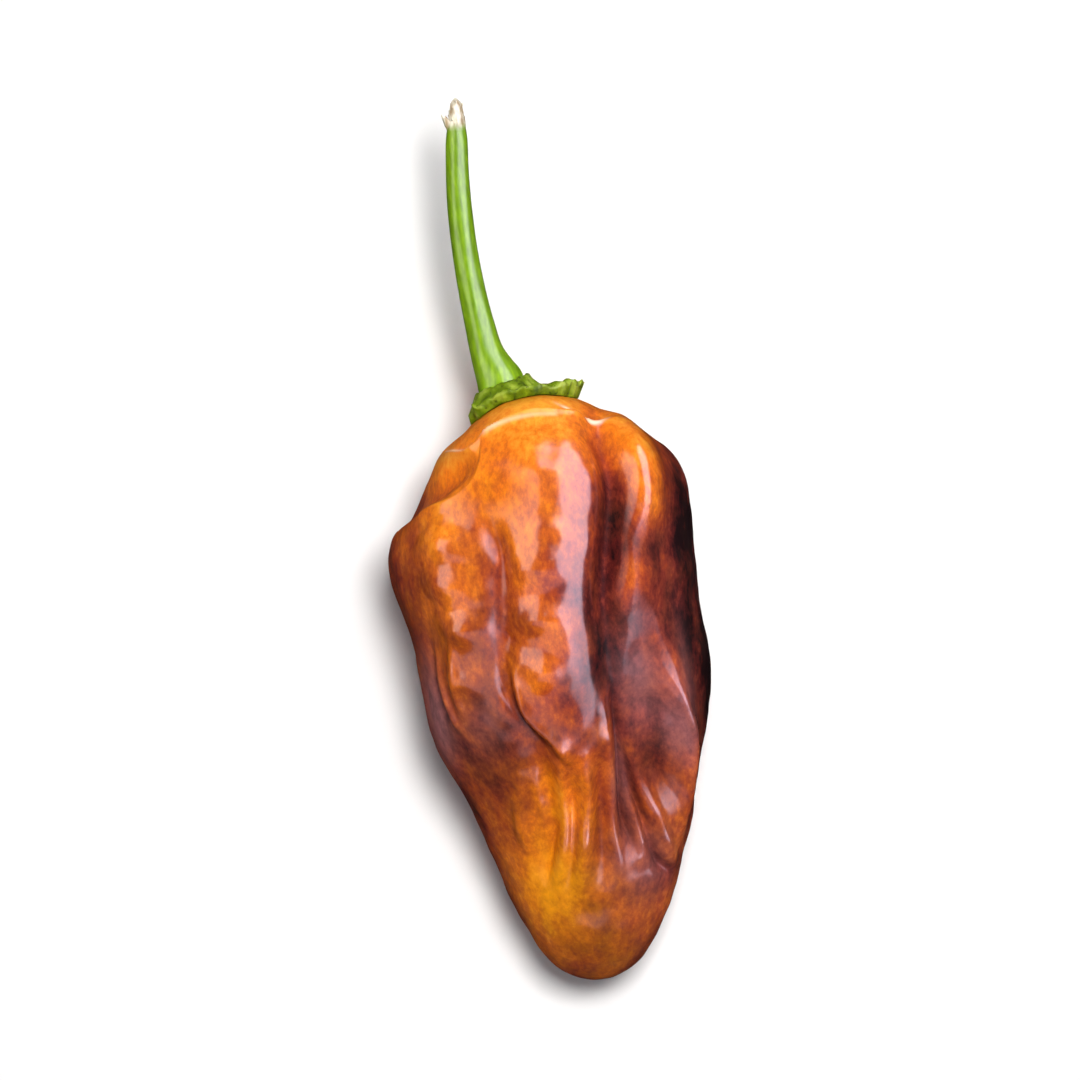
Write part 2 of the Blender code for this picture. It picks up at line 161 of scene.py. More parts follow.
# Fine folds and wrinkles of the upper half, each run given as (s, x, strength)
FINE_FORMS = (
    fold(0.6, 0.8, (26, -5.2, 0), (29.5, -5, 0.9), (31.2, -4.5, 1), (34.2, -2.2, 0.9), (36.8, -0.8, 0)),
    crease(0.6, 0.35, (42.7, -2.4, 0.3), (45, -3.2, 1), (47.4, -4, 1), (49.3, -4.7, 0)),
    swell(0.7, 0.8, (34.5, -1.2, 0.3), (37, -1.7, 1), (41, -1.8, 1), (45, -2.2, 1), (51, -4.1, 0)),
    groove(0.5, 0.5, (36.5, -0.6, 0), (41, -0.7, 1), (45, -1.2, 1), (50.5, -2.6, 0)),
    swell(0.6, 0.65, (35.5, 0.8, 0), (39, 0.9, 1), (42, 0.7, 1), (45, 0, 1), (51.5, -1.2, 0)),
    groove(0.6, 0.6, (35.5, 2.1, 0), (40, 2, 1), (44, 1.7, 1), (50.5, 1.3, 0)),
    swell(0.8, 0.6, (30, 3.8, 0), (35, 3.8, 1), (41, 3.5, 1), (44, 3.2, 0.8), (51, 3.2, 0)),
    crease(1.0, 0.55, (29, 4.7, 0), (34, 4.7, 1), (40, 4.6, 1), (43.5, 4.3, 1), (47.5, 5.2, 0)),
    crease(0.9, 0.6, (36, 5.2, 0), (41, 5.6, 0.8), (45, 6.8, 1), (48.6, 7.4, 1), (49.6, 8.9, 0)),
    swell(0.6, 0.8, (40, 4.9, 0), (43, 5.3, 1), (46, 5.6, 1), (49, 5.8, 0)),
    swell(0.6, 0.8, (39, 6.5, 0), (43.5, 7.4, 1), (47, 8.1, 0.9), (50, 8.5, 0)),
    swell(0.25, 1.0, (23.8, 7.4, 0), (26, 6.3, 1), (28.3, 5.9, 1), (30, 7, 0.8), (31.6, 9.4, 0)),
    swell(0.7, 0.8, (29.5, 10.4, 0), (32, 10.8, 1), (35, 11.2, 1), (40, 10.5, 0.8), (47, 9.2, 0)),
    groove(0.3, 1.4, (31.5, 6.5, 0.3), (33, 8.6, 1), (34.5, 9.6, 0.3)),
    groove(0.35, 1.2, (38, 6.6, 0.3), (39.4, 8.2, 1), (40, 9.6, 0.3)),
    swell(0.35, 1.2, (41.5, 8, 0.4), (43, 8.4, 1), (45, 8.8, 0.3)),
    swell(0.5, 0.6, (24, -12.4, 0.2), (28, -12, 1), (31, -11.3, 1), (33, -10.6, 0.2)),
    swell(0.5, 0.6, (22.5, -10.2, 0.2), (26, -10.4, 1), (29.5, -10.5, 0.8), (31, -10.2, 0.2)),
    groove(0.5, 0.7, (23, -12.8, 0.2), (28, -12.9, 1), (31, -12.3, 0.3)),
    crease(0.4, 0.35, (22.8, -5.6, 0.3), (23.6, -5, 1), (24.4, -4.2, 0.3)),
    crease(0.5, 0.6, (25, -6.2, 0.2), (28, -6.3, 0.8), (30, -5.8, 1), (32, -5, 0.3)),
    swell(0.5, 0.8, (38, -5.6, 0.3), (40.5, -6.2, 1), (43, -6.4, 1), (45.5, -6, 0.2)),
    swell(0.4, 0.6, (37, -3.9, 0.3), (39, -4.1, 1), (42, -3.9, 0.8), (44, -4.2, 0.2)),
    swell(0.52, 1.5, (16.2, -3.2, 0.5), (16.8, -2.2, 1), (17, -0.8, 0.7)),
    swell(0.68, 1.5, (21.6, -3.2, 0.5), (22, -2.2, 1), (22.2, -0.8, 0.7)),
    swell(0.72, 1.7, (26.6, -3, 0.6), (27.6, -1.8, 1), (28.6, -1, 0.6)),
    swell(0.52, 1.4, (12.8, -11.4, 0.6), (13.6, -10.2, 1), (13.8, -8.8, 0.6)),
    swell(0.52, 1.4, (17, -12, 0.6), (17.6, -10.8, 1), (17.8, -9.4, 0.6)),
    swell(0.68, 1.5, (21.6, -10.8, 0.6), (22.2, -9.4, 1), (22.4, -8, 0.6)),
    swell(0.52, 1.5, (26.6, -11, 0.6), (27.4, -10, 1), (28, -9, 0.6)),
    swell(0.5, 1.7, (4.6, 8.6, 0.3), (7, 9.1, 1), (10, 9.2, 1), (12.5, 8.9, 0.2)),
    swell(0.35, 1.5, (12, -0.8, 0.6), (13.2, -0.6, 1), (14.4, -0.9, 0.6)),
    swell(0.3, 1.4, (23.4, -0.6, 0.6), (24.6, -0.4, 1), (25.8, -0.6, 0.6)),
    groove(0.4, 0.7, (12.5, -5, 0.2), (15.5, -4.6, 1), (18, -4.4, 0.3)),
    crease(0.4, 0.35, (1.1, 3, 0.4), (2, 4.2, 1), (3.2, 5.7, 1), (3.5, 6.3, 0.3)),
    fold(0.4, 0.4, (3.5, 7.4, 0.3), (2.5, 4, 1), (2, -0.9, 1), (3.4, -5.1, 1), (4.5, -7, 1),
         (4.3, -9.2, 0.4)),
    fold(0.4, 0.5, (4.5, -5.4, 0.3), (7.8, -6.6, 1), (8.8, -8.2, 1), (9.7, -10.4, 1), (10.4, -12.8, 0.6)),
)

# The thin raised seams where the pod's cap begins, with a painted highlight along them
SEAMS_AND_HIGHLIGHTS = (
    swell(1.0, 0.22, (4.1, -9.2, 0.5), (4.35, -7, 1), (3.4, -5.2, 0.9), (2.7, -2.6, 0.6),
          (2.45, -0.2, 0.5), (2.6, 2.2, 0.3)),
    swell(1.0, 0.24, (0.95, 2.6, 0.3), (1.6, 3.8, 1), (2.7, 5.1, 1), (3.4, 6.4, 1), (3.4, 7.4, 0.4)),
)
SEAM_HEIGHT = 0.08

# How steep a fold's step and how deep its hollow is, and how closely and how far out a run is followed
FOLD_STEP_SHARE = 0.16
FOLD_HOLLOW = 0.5
RUN_POINTS = 200
RUN_SPACING = 0.4
FORM_REACH = 3.5

# Low waves of the skin, as (length of a wave, height)
WAVES = ((7.0, 0.5), (3.6, 0.34), (1.7, 0.13))

# Soft patches of the upper skin, each as (s, x, reach along, reach across, what it adds), and how much
# a point's height counts towards how far it is from one
PATCH_DEPTH = 0.15

# How ripe the skin is, from maroon to amber, with painted shade along its right side and painted light in
# its left hollow
RIPENESS_BASE = 0.42
RIPENESS_AND_PAINTED_LIGHT = (
    (0, 0, 6.5, 14, 0.52),
    (9, -8, 5, 7, 0.2),
    (14, -11.5, 5, 3.5, 0.16),
    # Painted light that lifts the shade in the hollow by the left shoulder
    (5.5, -9.6, 2.6, 3.6, 0.22),
    (12, -2, 5, 3, 0.08),
    (20, -8, 6, 5, 0.06),
    (21, -2.5, 8, 2.2, 0.1),
    (8, 10, 4, 2.5, 0.24),
    (13, 11, 3, 2, 0.12),
    (15, 6.5, 5, 2.5, -0.18),
    (16, 10, 4, 3, -0.06),
    (19, 8, 2.6, 2.2, 0.26),
    # The right side's own darker skin, with painted shade from a neighbouring pepper over it
    (20, 15.5, 18, 3.6, -0.6),
    (26, 2.4, 10, 2.4, -0.26),
    (33, -2.5, 3.6, 5.5, -0.16),
    (24, 6, 8, 4, -0.08),
    (27, -5, 4, 2, 0.14),
    (33, -10, 6, 5, -0.1),
    (35, 7, 3, 2, -0.1),
    (39, -3.2, 4, 2, 0.28),
    (40.6, -0.6, 3.8, 2.3, 0.27),
    (38, 4, 5, 1, 0.15),
    (22, 9, 7, 3, -0.12),
    # More of the painted shade from a neighbouring pepper, over the right side's own darker skin
    (14, 13.8, 3, 2, -0.2),
    (49, -4, 7, 4, 0.46),
    (43, 7.5, 3, 2, 0.1),
)

# How golden the skin is instead of red
GOLD_BASE = 0.08
GOLD = (
    (10, -9, 5, 5, 0.25),
    (20, -11, 6, 5, 0.18),
    (30, -9, 8, 6, 0.36),
    (39, -5, 5, 5, 0.35),
    (51, -2.5, 8, 6, 1),
    (58, 2, 4, 4, 0.4),
    (42, 8, 6, 4, 0.25),
)

# Where a dull lilac sheen is painted on the skin: a painted reflection of low light on its flanks
PAINTED_SHEEN = (
    (29.5, 7.5, 4.5, 2.2, 0.4),
    (34, 10.6, 4, 1.4, 0.4),
    (32, 11.8, 7, 0.8, 0.4),
    (41, 4.2, 6, 0.9, 0.35),
    (31, -13.4, 6, 1.5, 0.5),
    (32, -9, 3, 2.5, 0.15),
    (48, 6, 4, 3, 0.2),
)

# Where the skin has less wax, beyond its valleys
WAX = (
    (10, 6.9, 7, 1.3, -1),
    (22, 5.4, 6, 1.3, -0.9),
    (15.5, 10.5, 3, 3, -0.8),
    (19.5, 9.8, 3, 2.4, -0.8),
    (24, 9.4, 6, 2.6, -0.6),
    (27.5, 8.8, 3.4, 2.8, -0.6),
    (26, 2.6, 5, 1.8, -0.35),
    (7.5, -5, 2.5, 3, -0.5),
    (9, -5, 2.8, 4.5, -0.85),
    (31.5, 0.2, 3.4, 2, -0.9),
    (33, -7.5, 4, 4, -0.6),
    (49, 2.5, 3, 3, -0.6),
    (43, 9.8, 3, 1.6, -0.7),
    (18, 15, 13, 3, -1),
    (2, 0, 1.6, 6, -0.8),
)

# The skin's colours as it ripens, where it is red and where it is golden
RIPE_STEPS = (0.0, 0.2, 0.35, 0.5, 0.65, 0.8, 1.0)
RED_TONES = {
    "maroon": (0.011, 0.002, 0.0024),
    "oxblood": (0.08, 0.008, 0.006),
    "russet": (0.195, 0.024, 0.012),
    "brick": (0.352, 0.048, 0.010),
    "red_orange": (0.578, 0.107, 0.010),
    "orange": (0.855, 0.195, 0.008),
    "amber": (0.95, 0.376, 0.032),
}
GOLDEN_TONES = {
    "umber": (0.045, 0.013, 0.007),
    "chestnut": (0.141, 0.032, 0.010),
    "brown": (0.205, 0.048, 0.008),
    "golden_brown": (0.305, 0.080, 0.005),
    "ochre": (0.456, 0.122, 0.004),
    "gold": (0.631, 0.209, 0.003),
    "yellow": (0.831, 0.305, 0.003),
}

# The pod's rings lie closer together near its shoulder
CROWDED_SHARE = 0.22
LENGTHWISE_CROWD = 0.3

# Rows of the table by which places on the skin are found
SKIN_TABLE = 400

# The calyx: its rim, its lie on the pod, and the tilted seat with a lumpy lip that the stem stands on
CALYX_RIM_RADIUS = 5.5
CALYX_RIM_S = -0.85
CALYX_LEFT_DROP = 2.6
CALYX_EDGE = 0.55
CALYX_FLARE = 1.1
CALYX_GAP = 0.08
SEAT_X = -2.6
SEAT_S = -1.45
SEAT_TILT = 0.26
SEAT_RADIUS = 2.7
SEAT_BLEND = 1.6
SHOULDER_HEIGHT = 15.5
SEAT_LIP = 0.35
SEAT_LIP_WIDTH = 0.4
LIP_LUMPS = 2
LIP_LUMP_SIZE = 0.6
EDGE_TAPER = 8

# How steeply the rim droops on the left, and its notches and frills as (depth, fineness, shift)
DROOP_POWER = 4
NOTCHES = (0.5, 0.12, 0.0)
FRILLS = (0.8, 0.2, 3.0)

# The calyx's ribs and wrinkles, how pale its mottle is, and the painted light on its ribs and the top of
# its rim, with painted shade in its wrinkles
RIBS = 15
RIB_SWING = 2.5
WRINKLE_SHARE = 3
WRINKLE_SIZE = 0.9
PALE_BASE = 0.45
PALE_MOTTLE = 0.9
PALE_MOTTLE_SIZE = 1.4
RIB_PAINTED_LIGHT = 0.15
RIM_PAINTED_LIGHT = 0.4
RIM_PAINTED_LIGHT_FROM = 0.88

# The blunt teeth of the calyx's rim, as (degrees round, reach in degrees, how far out, how far up)
CALYX_TEETH = (
    (0, 10, 0.25, 0.1),
    (42, 9, 0.2, 0.3),
    (85, 12, 0.3, 0.2),
    (122, 9, 0.2, 0.25),
    (157, 10, 0.9, 0.9),
    (182, 9, 0.8, 0.0),
    (222, 14, 0.4, 0.2),
    (262, 13, 0.3, 0.3),
    (300, 12, 0.35, 0.2),
    (332, 10, 0.3, 0.2),
)

# The stem's middle line as (s, x, height, radius), from its foot to its torn end
STEM_SECTIONS = np.array((
    (-0.9, -2.5, 15.5, 2.2),
    (-1.6, -2.62, 15.5, 2.42),
    (-2.3, -2.78, 15.5, 2.38),
    (-3.2, -3.08, 15.5, 2.15),
    (-5.0, -3.6, 15.6, 1.75),
    (-8.0, -4.0, 15.8, 1.52),
    (-12.0, -4.4, 16.1, 1.38),
    (-16.0, -4.6, 16.4, 1.3),
    (-20.0, -4.55, 16.7, 1.25),
    (-24.0, -4.28, 17.0, 1.16),
    (-27.4, -3.92, 17.3, 1.05),
    (-28.6, -3.8, 17.35, 0.88),
    (-29.8, -3.68, 17.4, 0.7),
    (-30.7, -3.6, 17.45, 0.45),
    (-31.2, -3.58, 17.45, 0.05),
))
STEM_STEP = 0.3

# A flake of rind at the torn end, as the stem's sections are
FLAKE = (
    (-27.4, -4.3, 17.4, 0.5),
    (-28.6, -4.65, 17.6, 0.4),
    (-29.2, -5.0, 17.7, 0.28),
    (-29.6, -5.2, 17.75, 0.1),
)


def marks_along(places, reach):
    """Distances over a profile's rows, from their places and their reaches from the middle."""
    steps = np.diff(np.column_stack((places, reach)), axis=0)
    return np.concatenate(((0.0,), np.cumsum(np.linalg.norm(steps, axis=1))))


def smooth_rows(rows, marks, at):
    """Rows read at distances `at` from a smooth curve that passes through `rows` at their marks."""
    slopes = np.gradient(rows, marks, axis=0)
    first = np.clip(np.searchsorted(marks, at, side="right") - 1, 0, len(marks) - 2)
    span = (marks[first + 1] - marks[first])[:, None]
    t = (at - marks[first])[:, None] / span
    start, end = rows[first], rows[first + 1]
    bend = slopes[first] * span * t * (1 - t) ** 2 - slopes[first + 1] * span * t * t * (1 - t)
    return start + (end - start) * t * t * (3 - 2 * t) + bend


def smoothstep(low, high, value):
    """0 below low, 1 above high, and a smooth rise between them."""
    t = np.clip((value - low) / (high - low), 0.0, 1.0)
    return t * t * (3 - 2 * t)


POD_MARKS = marks_along(POD_SECTIONS[:, :1], POD_SECTIONS[:, (1, 2, 4, 5)].mean(axis=1))
CREST_ROW = int(np.argmin(POD_SECTIONS[:, 0]))


def plain_skin(along, angle):
    """Points of the pod without its lobes and folds."""
    s, left, right, middle, up, down = smooth_rows(POD_SECTIONS, POD_MARKS, along).T
    cosine, sine = np.cos(angle), np.sin(angle)
    across = np.sign(cosine) * np.abs(cosine) ** (2 / SECTION_POWER)
    high = np.sign(sine) * np.abs(sine) ** (2 / SECTION_POWER)
    sag = np.where(cosine < 0, SAG_LEFT, SAG_RIGHT) * cosine ** 2
    sag = sag * np.exp(-((left - SAG_RADIUS) / SAG_REACH) ** 2)
    return np.column_stack((
        across * np.where(cosine > 0, right, left),
        REST_STATION - s - sag,
        middle + high * np.where(sine > 0, up, down),
    ))


def skin_normals(along, angle, step=0.05):
    """Outward directions of the plain skin."""
    along = np.clip(along, step * 2, POD_MARKS[-1] - step * 2)
    round_it = plain_skin(along, angle + step) - plain_skin(along, angle - step)
    down_it = plain_skin(along + step, angle) - plain_skin(along - step, angle)
    normals = np.cross(round_it, down_it)
    return normals / np.linalg.norm(normals, axis=1)[:, None]


def along_at(s):
    """The skin's own measure at distances s from the shoulder."""
    table = np.linspace(POD_MARKS[CREST_ROW], POD_MARKS[-1], SKIN_TABLE)
    return np.interp(s, smooth_rows(POD_SECTIONS, POD_MARKS, table)[:, 0], table)


def angle_from_above(along, x):
    """The angle of the upper half's points that lie at x, seen from above."""
    section = smooth_rows(POD_SECTIONS, POD_MARKS, along)
    reach = np.where(x < 0, section[:, 1], section[:, 2])
    return np.arccos(np.sign(x) * np.clip(np.abs(x) / reach, 0.0, 1.0) ** (SECTION_POWER / 2))


def girth_at(along):
    """The pod's mean reach from its middle."""
    return smooth_rows(POD_SECTIONS, POD_MARKS, along)[:, (1, 2, 4, 5)].mean(axis=1)


def run_of(form):
    """A form's run, closely spaced, as (along, angle, strength)."""
    rows = np.array(form.path, dtype=float)
    marks = marks_along(rows[:, :1], rows[:, 1])
    s, aside, strength = smooth_rows(rows, marks, np.linspace(0.0, marks[-1], RUN_POINTS)).T
    along = along_at(s)
    angle = np.radians(aside) if form in SIDE_FORMS else angle_from_above(along, aside)
    marks = marks_along(along[:, None], angle * girth_at(along))
    even = np.arange(0.0, marks[-1], RUN_SPACING)
    return [np.interp(even, marks, row) for row in (along, angle, np.clip(strength, 0.0, 1.0))]


def fold_profile(offset, width):
    """A lip on the left hand of who walks the run, which falls away behind it, and a hollow before it."""
    lip = 0.5 + 0.5 * np.tanh(offset / (FOLD_STEP_SHARE * width))
    behind = lip * np.exp(-np.maximum(offset, 0.0) / width)
    before = (1 - lip) * FOLD_HOLLOW * np.exp(np.minimum(offset, 0.0) / (FOLD_HOLLOW * width))
    return behind - before


PROFILES = {
    "swell": lambda offset, width: np.exp(-(offset / width) ** 2),
    "groove": lambda offset, width: -np.exp(-(offset / width) ** 2),
    "crease": lambda offset, width: -np.exp(-np.abs(offset) / width),
    "fold": fold_profile,
}


def add_form(lift, form, along, angle, girth):
    """Lifts or sinks the skin's points where one form passes near them."""
    run_along, run_angle, strength = run_of(form)
    reach = FORM_REACH * form.width
    middle, half = (run_angle.max() + run_angle.min()) / 2, np.ptp(run_angle) / 2
    turn = np.abs(np.remainder(angle - middle + math.pi, 2 * math.pi) - math.pi)
    beside = (turn - half) * girth < reach
    near = np.flatnonzero(beside & (along > run_along.min() - reach) & (along < run_along.max() + reach))
    ahead = along[near, None] - run_along
    turn = np.remainder(angle[near, None] - run_angle + math.pi, 2 * math.pi) - math.pi
    aside = turn * girth[near, None]
    nearest = np.argmin(np.hypot(ahead, aside), axis=1)
    point = np.arange(len(near))
    ahead, aside = ahead[point, nearest], aside[point, nearest]
    heading = np.array((np.gradient(run_along)[nearest], np.gradient(run_angle)[nearest] * girth[near]))
    heading /= np.linalg.norm(heading, axis=0)
    across = ahead * heading[1] - aside * heading[0]
    forward = ahead * heading[0] + aside * heading[1]
    past = np.maximum(np.abs(forward) - RUN_SPACING / 2, 0.0)
    offset = np.copysign(np.hypot(across, past), across)
    step = np.clip(forward / RUN_SPACING, -0.5, 0.5)
    strength = strength[nearest] + np.gradient(strength)[nearest] * step
    lift[near] += form.height * strength * PROFILES[form.shape](offset, form.width)


def noise_at(points, size, shift=0.0):
    """Smooth noise from -0.5 to 0.5 at the points, with lumps of the given size."""
    scaled = points / size + shift
    return np.array([noise.noise(Vector(point)) for point in scaled]) * 0.5


def pod_skin(share, angle, relief):
    """The pod's points, flat where they would pass below the ground, and what its material reads."""
    drawn_in = np.sin(2 * math.pi * (share - CROWDED_SHARE)) + math.sin(2 * math.pi * CROWDED_SHARE)
    along = (share - LENGTHWISE_CROWD / (2 * math.pi) * drawn_in) * POD_MARKS[-1]
    girth = girth_at(along)
    plain = plain_skin(along, angle)
    lift = np.zeros(len(along))
    for form in TOP_FORMS + SIDE_FORMS:
        add_form(lift, form, along, angle, girth)
    fine = sum(height * noise_at(plain, length, length) for length, height in WAVES)
    for form in FINE_FORMS:
        add_form(fine, form, along, angle, girth)
    lift = (lift + fine * relief) * np.clip(girth / SAG_RADIUS, 0.0, 1.0) ** 2
    # The seams are raised a little, and the same mask carries their painted highlight to the material
    seam = np.zeros(len(along))
    for form in SEAMS_AND_HIGHLIGHTS:
        add_form(seam, form, along, angle, girth)
    points = plain + skin_normals(along, angle) * (lift + seam * SEAM_HEIGHT * relief)[:, None]
    points[:, 2] = np.maximum(points[:, 2], 0.0)
    return points, {"lift": lift, "seam": seam}


def patched(points, base, patches):
    """A base value with soft patches added to it, at each point."""
    value = np.full(len(points), base)
    for s, x, reach_along, reach_across, change in patches:
        along = along_at(np.array((s,)))
        centre = plain_skin(along, angle_from_above(along, np.array((x,))))[0]
        away = points - centre
        across = (away[:, 0] ** 2 + away[:, 2] ** 2 * PATCH_DEPTH) / reach_across ** 2
        value = value + change * np.exp(-across - (away[:, 1] / reach_along) ** 2)
    return np.clip(value, 0.0, 1.0)


def closed_body(name, sides, rings, place, crowd=0.0):
    """A closed body: a ball whose points go where place() puts their share of its length and angle.

    place() also gives the numbers that the body's material reads at each point, by name.
    `crowd` draws the sides closer together on top, where more of the detail is.
    """
    bm = bmesh.new()
    bmesh.ops.create_uvsphere(bm, u_segments=sides, v_segments=rings, radius=1.0)
    ball = np.array([vert.co for vert in bm.verts])
    share = np.arccos(np.clip(ball[:, 2], -1.0, 1.0)) / math.pi
    angle = np.arctan2(-ball[:, 1], ball[:, 0])
    points, marks = place(share, angle + crowd * np.cos(angle))
    for vert, point in zip(bm.verts, points * MM):
        vert.co = point
    mesh = bpy.data.meshes.new(name)
    bm.to_mesh(mesh)
    bm.free()
    mesh.shade_smooth()
    for mark, values in marks.items():
        store(mesh, mark, values)
    return mesh, points


def store(mesh, name, values):
    """Keeps one number for each point of a mesh, for its material to read."""
    mesh.attributes.new(name, "FLOAT", "POINT").data.foreach_set("value", np.asarray(values, dtype=float))


def add_piece(name, mesh, node):
    """Puts a finished mesh in the scene as a piece that stands for a CAD node."""
    piece = bpy.data.objects.new(name, mesh)
    bpy.context.scene.collection.objects.link(piece)
    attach(piece, BODY)
    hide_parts(node)
    return piece


class Signal:
    """A node's output that can be used in an expression, which adds the Math nodes that it needs."""

    def __init__(self, board, socket):
        self.board = board
        self.socket = socket

    def __getitem__(self, name):
        """Another output of the same node."""
        return Signal(self.board, self.socket.node.outputs[name])

    def __add__(self, value):
        return self.board.maths("ADD", self, value)

    def __sub__(self, value):
        return self.board.maths("SUBTRACT", self, value)

    def __rsub__(self, value):
        return self.board.maths("SUBTRACT", value, self)

    def __mul__(self, value):
        return self.board.maths("MULTIPLY", self, value)

    __radd__ = __add__
    __rmul__ = __mul__


class Board:
    """A node tree that is being wired up."""

    def __init__(self, tree):
        self.tree = tree

    def node(self, kind, values=None, output=0, **settings):
        """Adds a node: its settings first, then the value, link or list of links of each socket named."""
        made = self.tree.nodes.new(kind)
        for name, value in settings.items():
            if name == "stops":
                self.set_stops(made.color_ramp.elements, value)
            else:
                setattr(made, name, value)
        for key, value in (values or {}).items():
            links = value if isinstance(value, list) else [value]
            for link in links:
                if isinstance(link, Signal):
                    self.tree.links.new(link.socket, made.inputs[key])
                else:
                    made.inputs[key].default_value = link
        return Signal(self, made.outputs[output]) if made.outputs else None

    @staticmethod
    def set_stops(elements, stops):
        """Gives a colour ramp its stops, as (place, colour)."""
        while len(elements) < len(stops):
            elements.new(1.0)
        for element, (place, colour) in zip(elements, stops):
            element.position = place
            element.color = (*colour, 1.0)

    def maths(self, operation, *values):
        """A Math node."""
        return self.node("ShaderNodeMath", dict(enumerate(values)), operation=operation)

    def ramp(self, signal, places, colours):
        """A colour ramp."""
        return self.node("ShaderNodeValToRGB", {"Fac": signal}, stops=tuple(zip(places, colours)))

    def mix(self, factor, first, second):
        """A mix of two colours."""
        values = {0: factor, 6: first, 7: second}
        return self.node("ShaderNodeMix", values, output=2, data_type="RGBA")

    def attribute(self, name):
        """A number that the mesh keeps for each of its points."""
        return self.node("ShaderNodeAttribute", output="Fac", attribute_name=name)

    def grain(self, kind):
        """Noise fixed to the piece, from 0 to 1."""
        where = self.node("ShaderNodeTexCoord", output="Object")
        scale = tuple(1 / part for part in kind.stretch)
        drawn_out = self.node("ShaderNodeMapping", {"Vector": where, "Scale": scale})
        return self.node("ShaderNodeTexNoise", {
            "Vector": drawn_out,
            "Scale": 1 / (kind.size * MM),
            "Detail": kind.detail,
            "Roughness": kind.roughness,
        })

    def bump(self, height, strength, depth):
        """Fine relief, `depth` mm deep."""
        values = {"Height": height, "Strength": strength, "Distance": depth * MM}
        return self.node("ShaderNodeBump", values)


class Grain(NamedTuple):
    """A noise: the size of its grains in mm, how far they are drawn out, and how rich and rough it is."""
    size: float
    stretch: tuple = (1.0, 1.0, 1.0)
    detail: float = 2.0
    roughness: float = 0.5


SKIN_SPECKS = Grain(0.6, (1.0, 1.7, 1.0), 4.0, 0.7)
SKIN_BLOTCHES = Grain(3.4, (1.0, 1.9, 1.0), 3.0, 0.6)
SKIN_PORES = Grain(0.9, (1.0, 1.8, 1.0))
GOLD_FLOWS = Grain(2.2, (1.0, 1.6, 1.0))
LEAF_GRAIN = Grain(0.5, detail=3.0, roughness=0.6)
LEAF_FLECKS = Grain(0.6)
STALK_STREAKS = Grain(0.4, (1.0, 40.0, 1.0))
STALK_GRAIN = Grain(0.5, (1.0, 3.0, 1.0))
FLOOR_CLOUDS = Grain(60.0)
FLOOR_GRAIN = Grain(0.8)

# Depths of the finest relief in mm, and the strength of each where a user can't change it
SKIN_DEPTH = 0.03
LEAF_DEPTH = 0.15
LEAF_BUMP = 0.5
STALK_DEPTH = 0.1
STALK_BUMP = 0.16
FLOOR_DEPTH = 0.02
FLOOR_BUMP = 0.05

# How the colours are laid on: places in a ramp, and how far a mark covers what is under it
UNDERCOAT_SHINE = 0.04
SEAM_HIGHLIGHT_COVER = 0.95
LEAF_STEPS = (0.1, 0.5, 0.9)
LEAF_MOTTLE = 0.6
FLECK_STEPS = (0.30, 0.40)
FLECK_COVER = 0.7
STALK_STEPS = (0.15, 0.5, 0.9)
CORK_STEPS = (0.35, 0.6)
FOOT_PALENESS = 0.1
CLOUD_SHADE = 0.99


def new_finish(name, roughness, coat=0.0, coat_roughness=0.0):
    """A material's board and shader, with the values that are the same all over."""
    material = bpy.data.materials.new(name)
    material.use_nodes = True
    shader = material.node_tree.nodes["Principled BSDF"]
    shader.inputs["Roughness"].default_value = roughness
    shader.inputs["Coat Weight"].default_value = coat
    shader.inputs["Specular IOR Level"].default_value = UNDERCOAT_SHINE
    shader.inputs["Coat Roughness"].default_value = coat_roughness
    return material, Board(material.node_tree), shader


def plug(board, shader, colour, bump):
    """Links a colour and a relief to the shader."""
    board.tree.links.new(colour.socket, shader.inputs["Base Color"])
    board.tree.links.new(bump.socket, shader.inputs["Normal"])


def pod_finish(look):
    """Waxy skin from maroon to orange as it ripens, or umber to gold, with painted shade, sheen and seam
    highlights.
    """
    material, board, shader = new_finish("pod_skin", look.roughness, look.coat, look.coat_roughness)
    fine = board.grain(SKIN_SPECKS)
    blotch = board.grain(SKIN_BLOTCHES)
    ripe_and_painted_light = board.attribute("ripeness")
    uneven = (blotch - 0.5) * look.blotches * (look.evening_out - ripe_and_painted_light)
    # Painted shade: the tone is darker where the skin sinks into valleys and creases, and lighter on its
    # ridges
    tone = ripe_and_painted_light + (fine - 0.5) * look.speckle + uneven + board.attribute("lift") * look.painted_relief_shade
    red, golden = (
        board.ramp(tone, RIPE_STEPS, [getattr(look, name) for name in tones])
        for tones in (RED_TONES, GOLDEN_TONES)
    )
    relief = fine * 0.5 + board.grain(SKIN_PORES)
    gold = board.attribute("gold") + (board.grain(GOLD_FLOWS) - 0.5) * look.gold_blotches
    skin = board.mix(gold, red, golden)
    # Painted reflection: a dull lilac sheen mixed into the colour over its patches, broken up by the grain
    sheen_mask = board.attribute("bloom") * (fine + blotch)
    skin = board.mix(sheen_mask, skin, (*look.bloom, 1.0))
    # Painted highlight: a thin pale line along the raised seams
    seam_highlighted = board.mix(board.attribute("seam") * SEAM_HIGHLIGHT_COVER, skin, (*look.seam, 1.0))
    plug(board, shader, seam_highlighted, board.bump(relief, look.bump, SKIN_DEPTH))
    wax = board.node("ShaderNodeMapRange", {
        "Value": board.attribute("lift"),
        "From Min": look.bare_below,
        "From Max": look.waxed_above,
        "To Max": look.coat,
    }, interpolation_type="SMOOTHSTEP")
    wax = wax * board.attribute("wax")
    board.tree.links.new(wax.socket, shader.inputs["Coat Weight"])
    dull = look.roughness + look.dulling * (1.0 - wax)
    board.tree.links.new(dull.socket, shader.inputs["Roughness"])
    return material


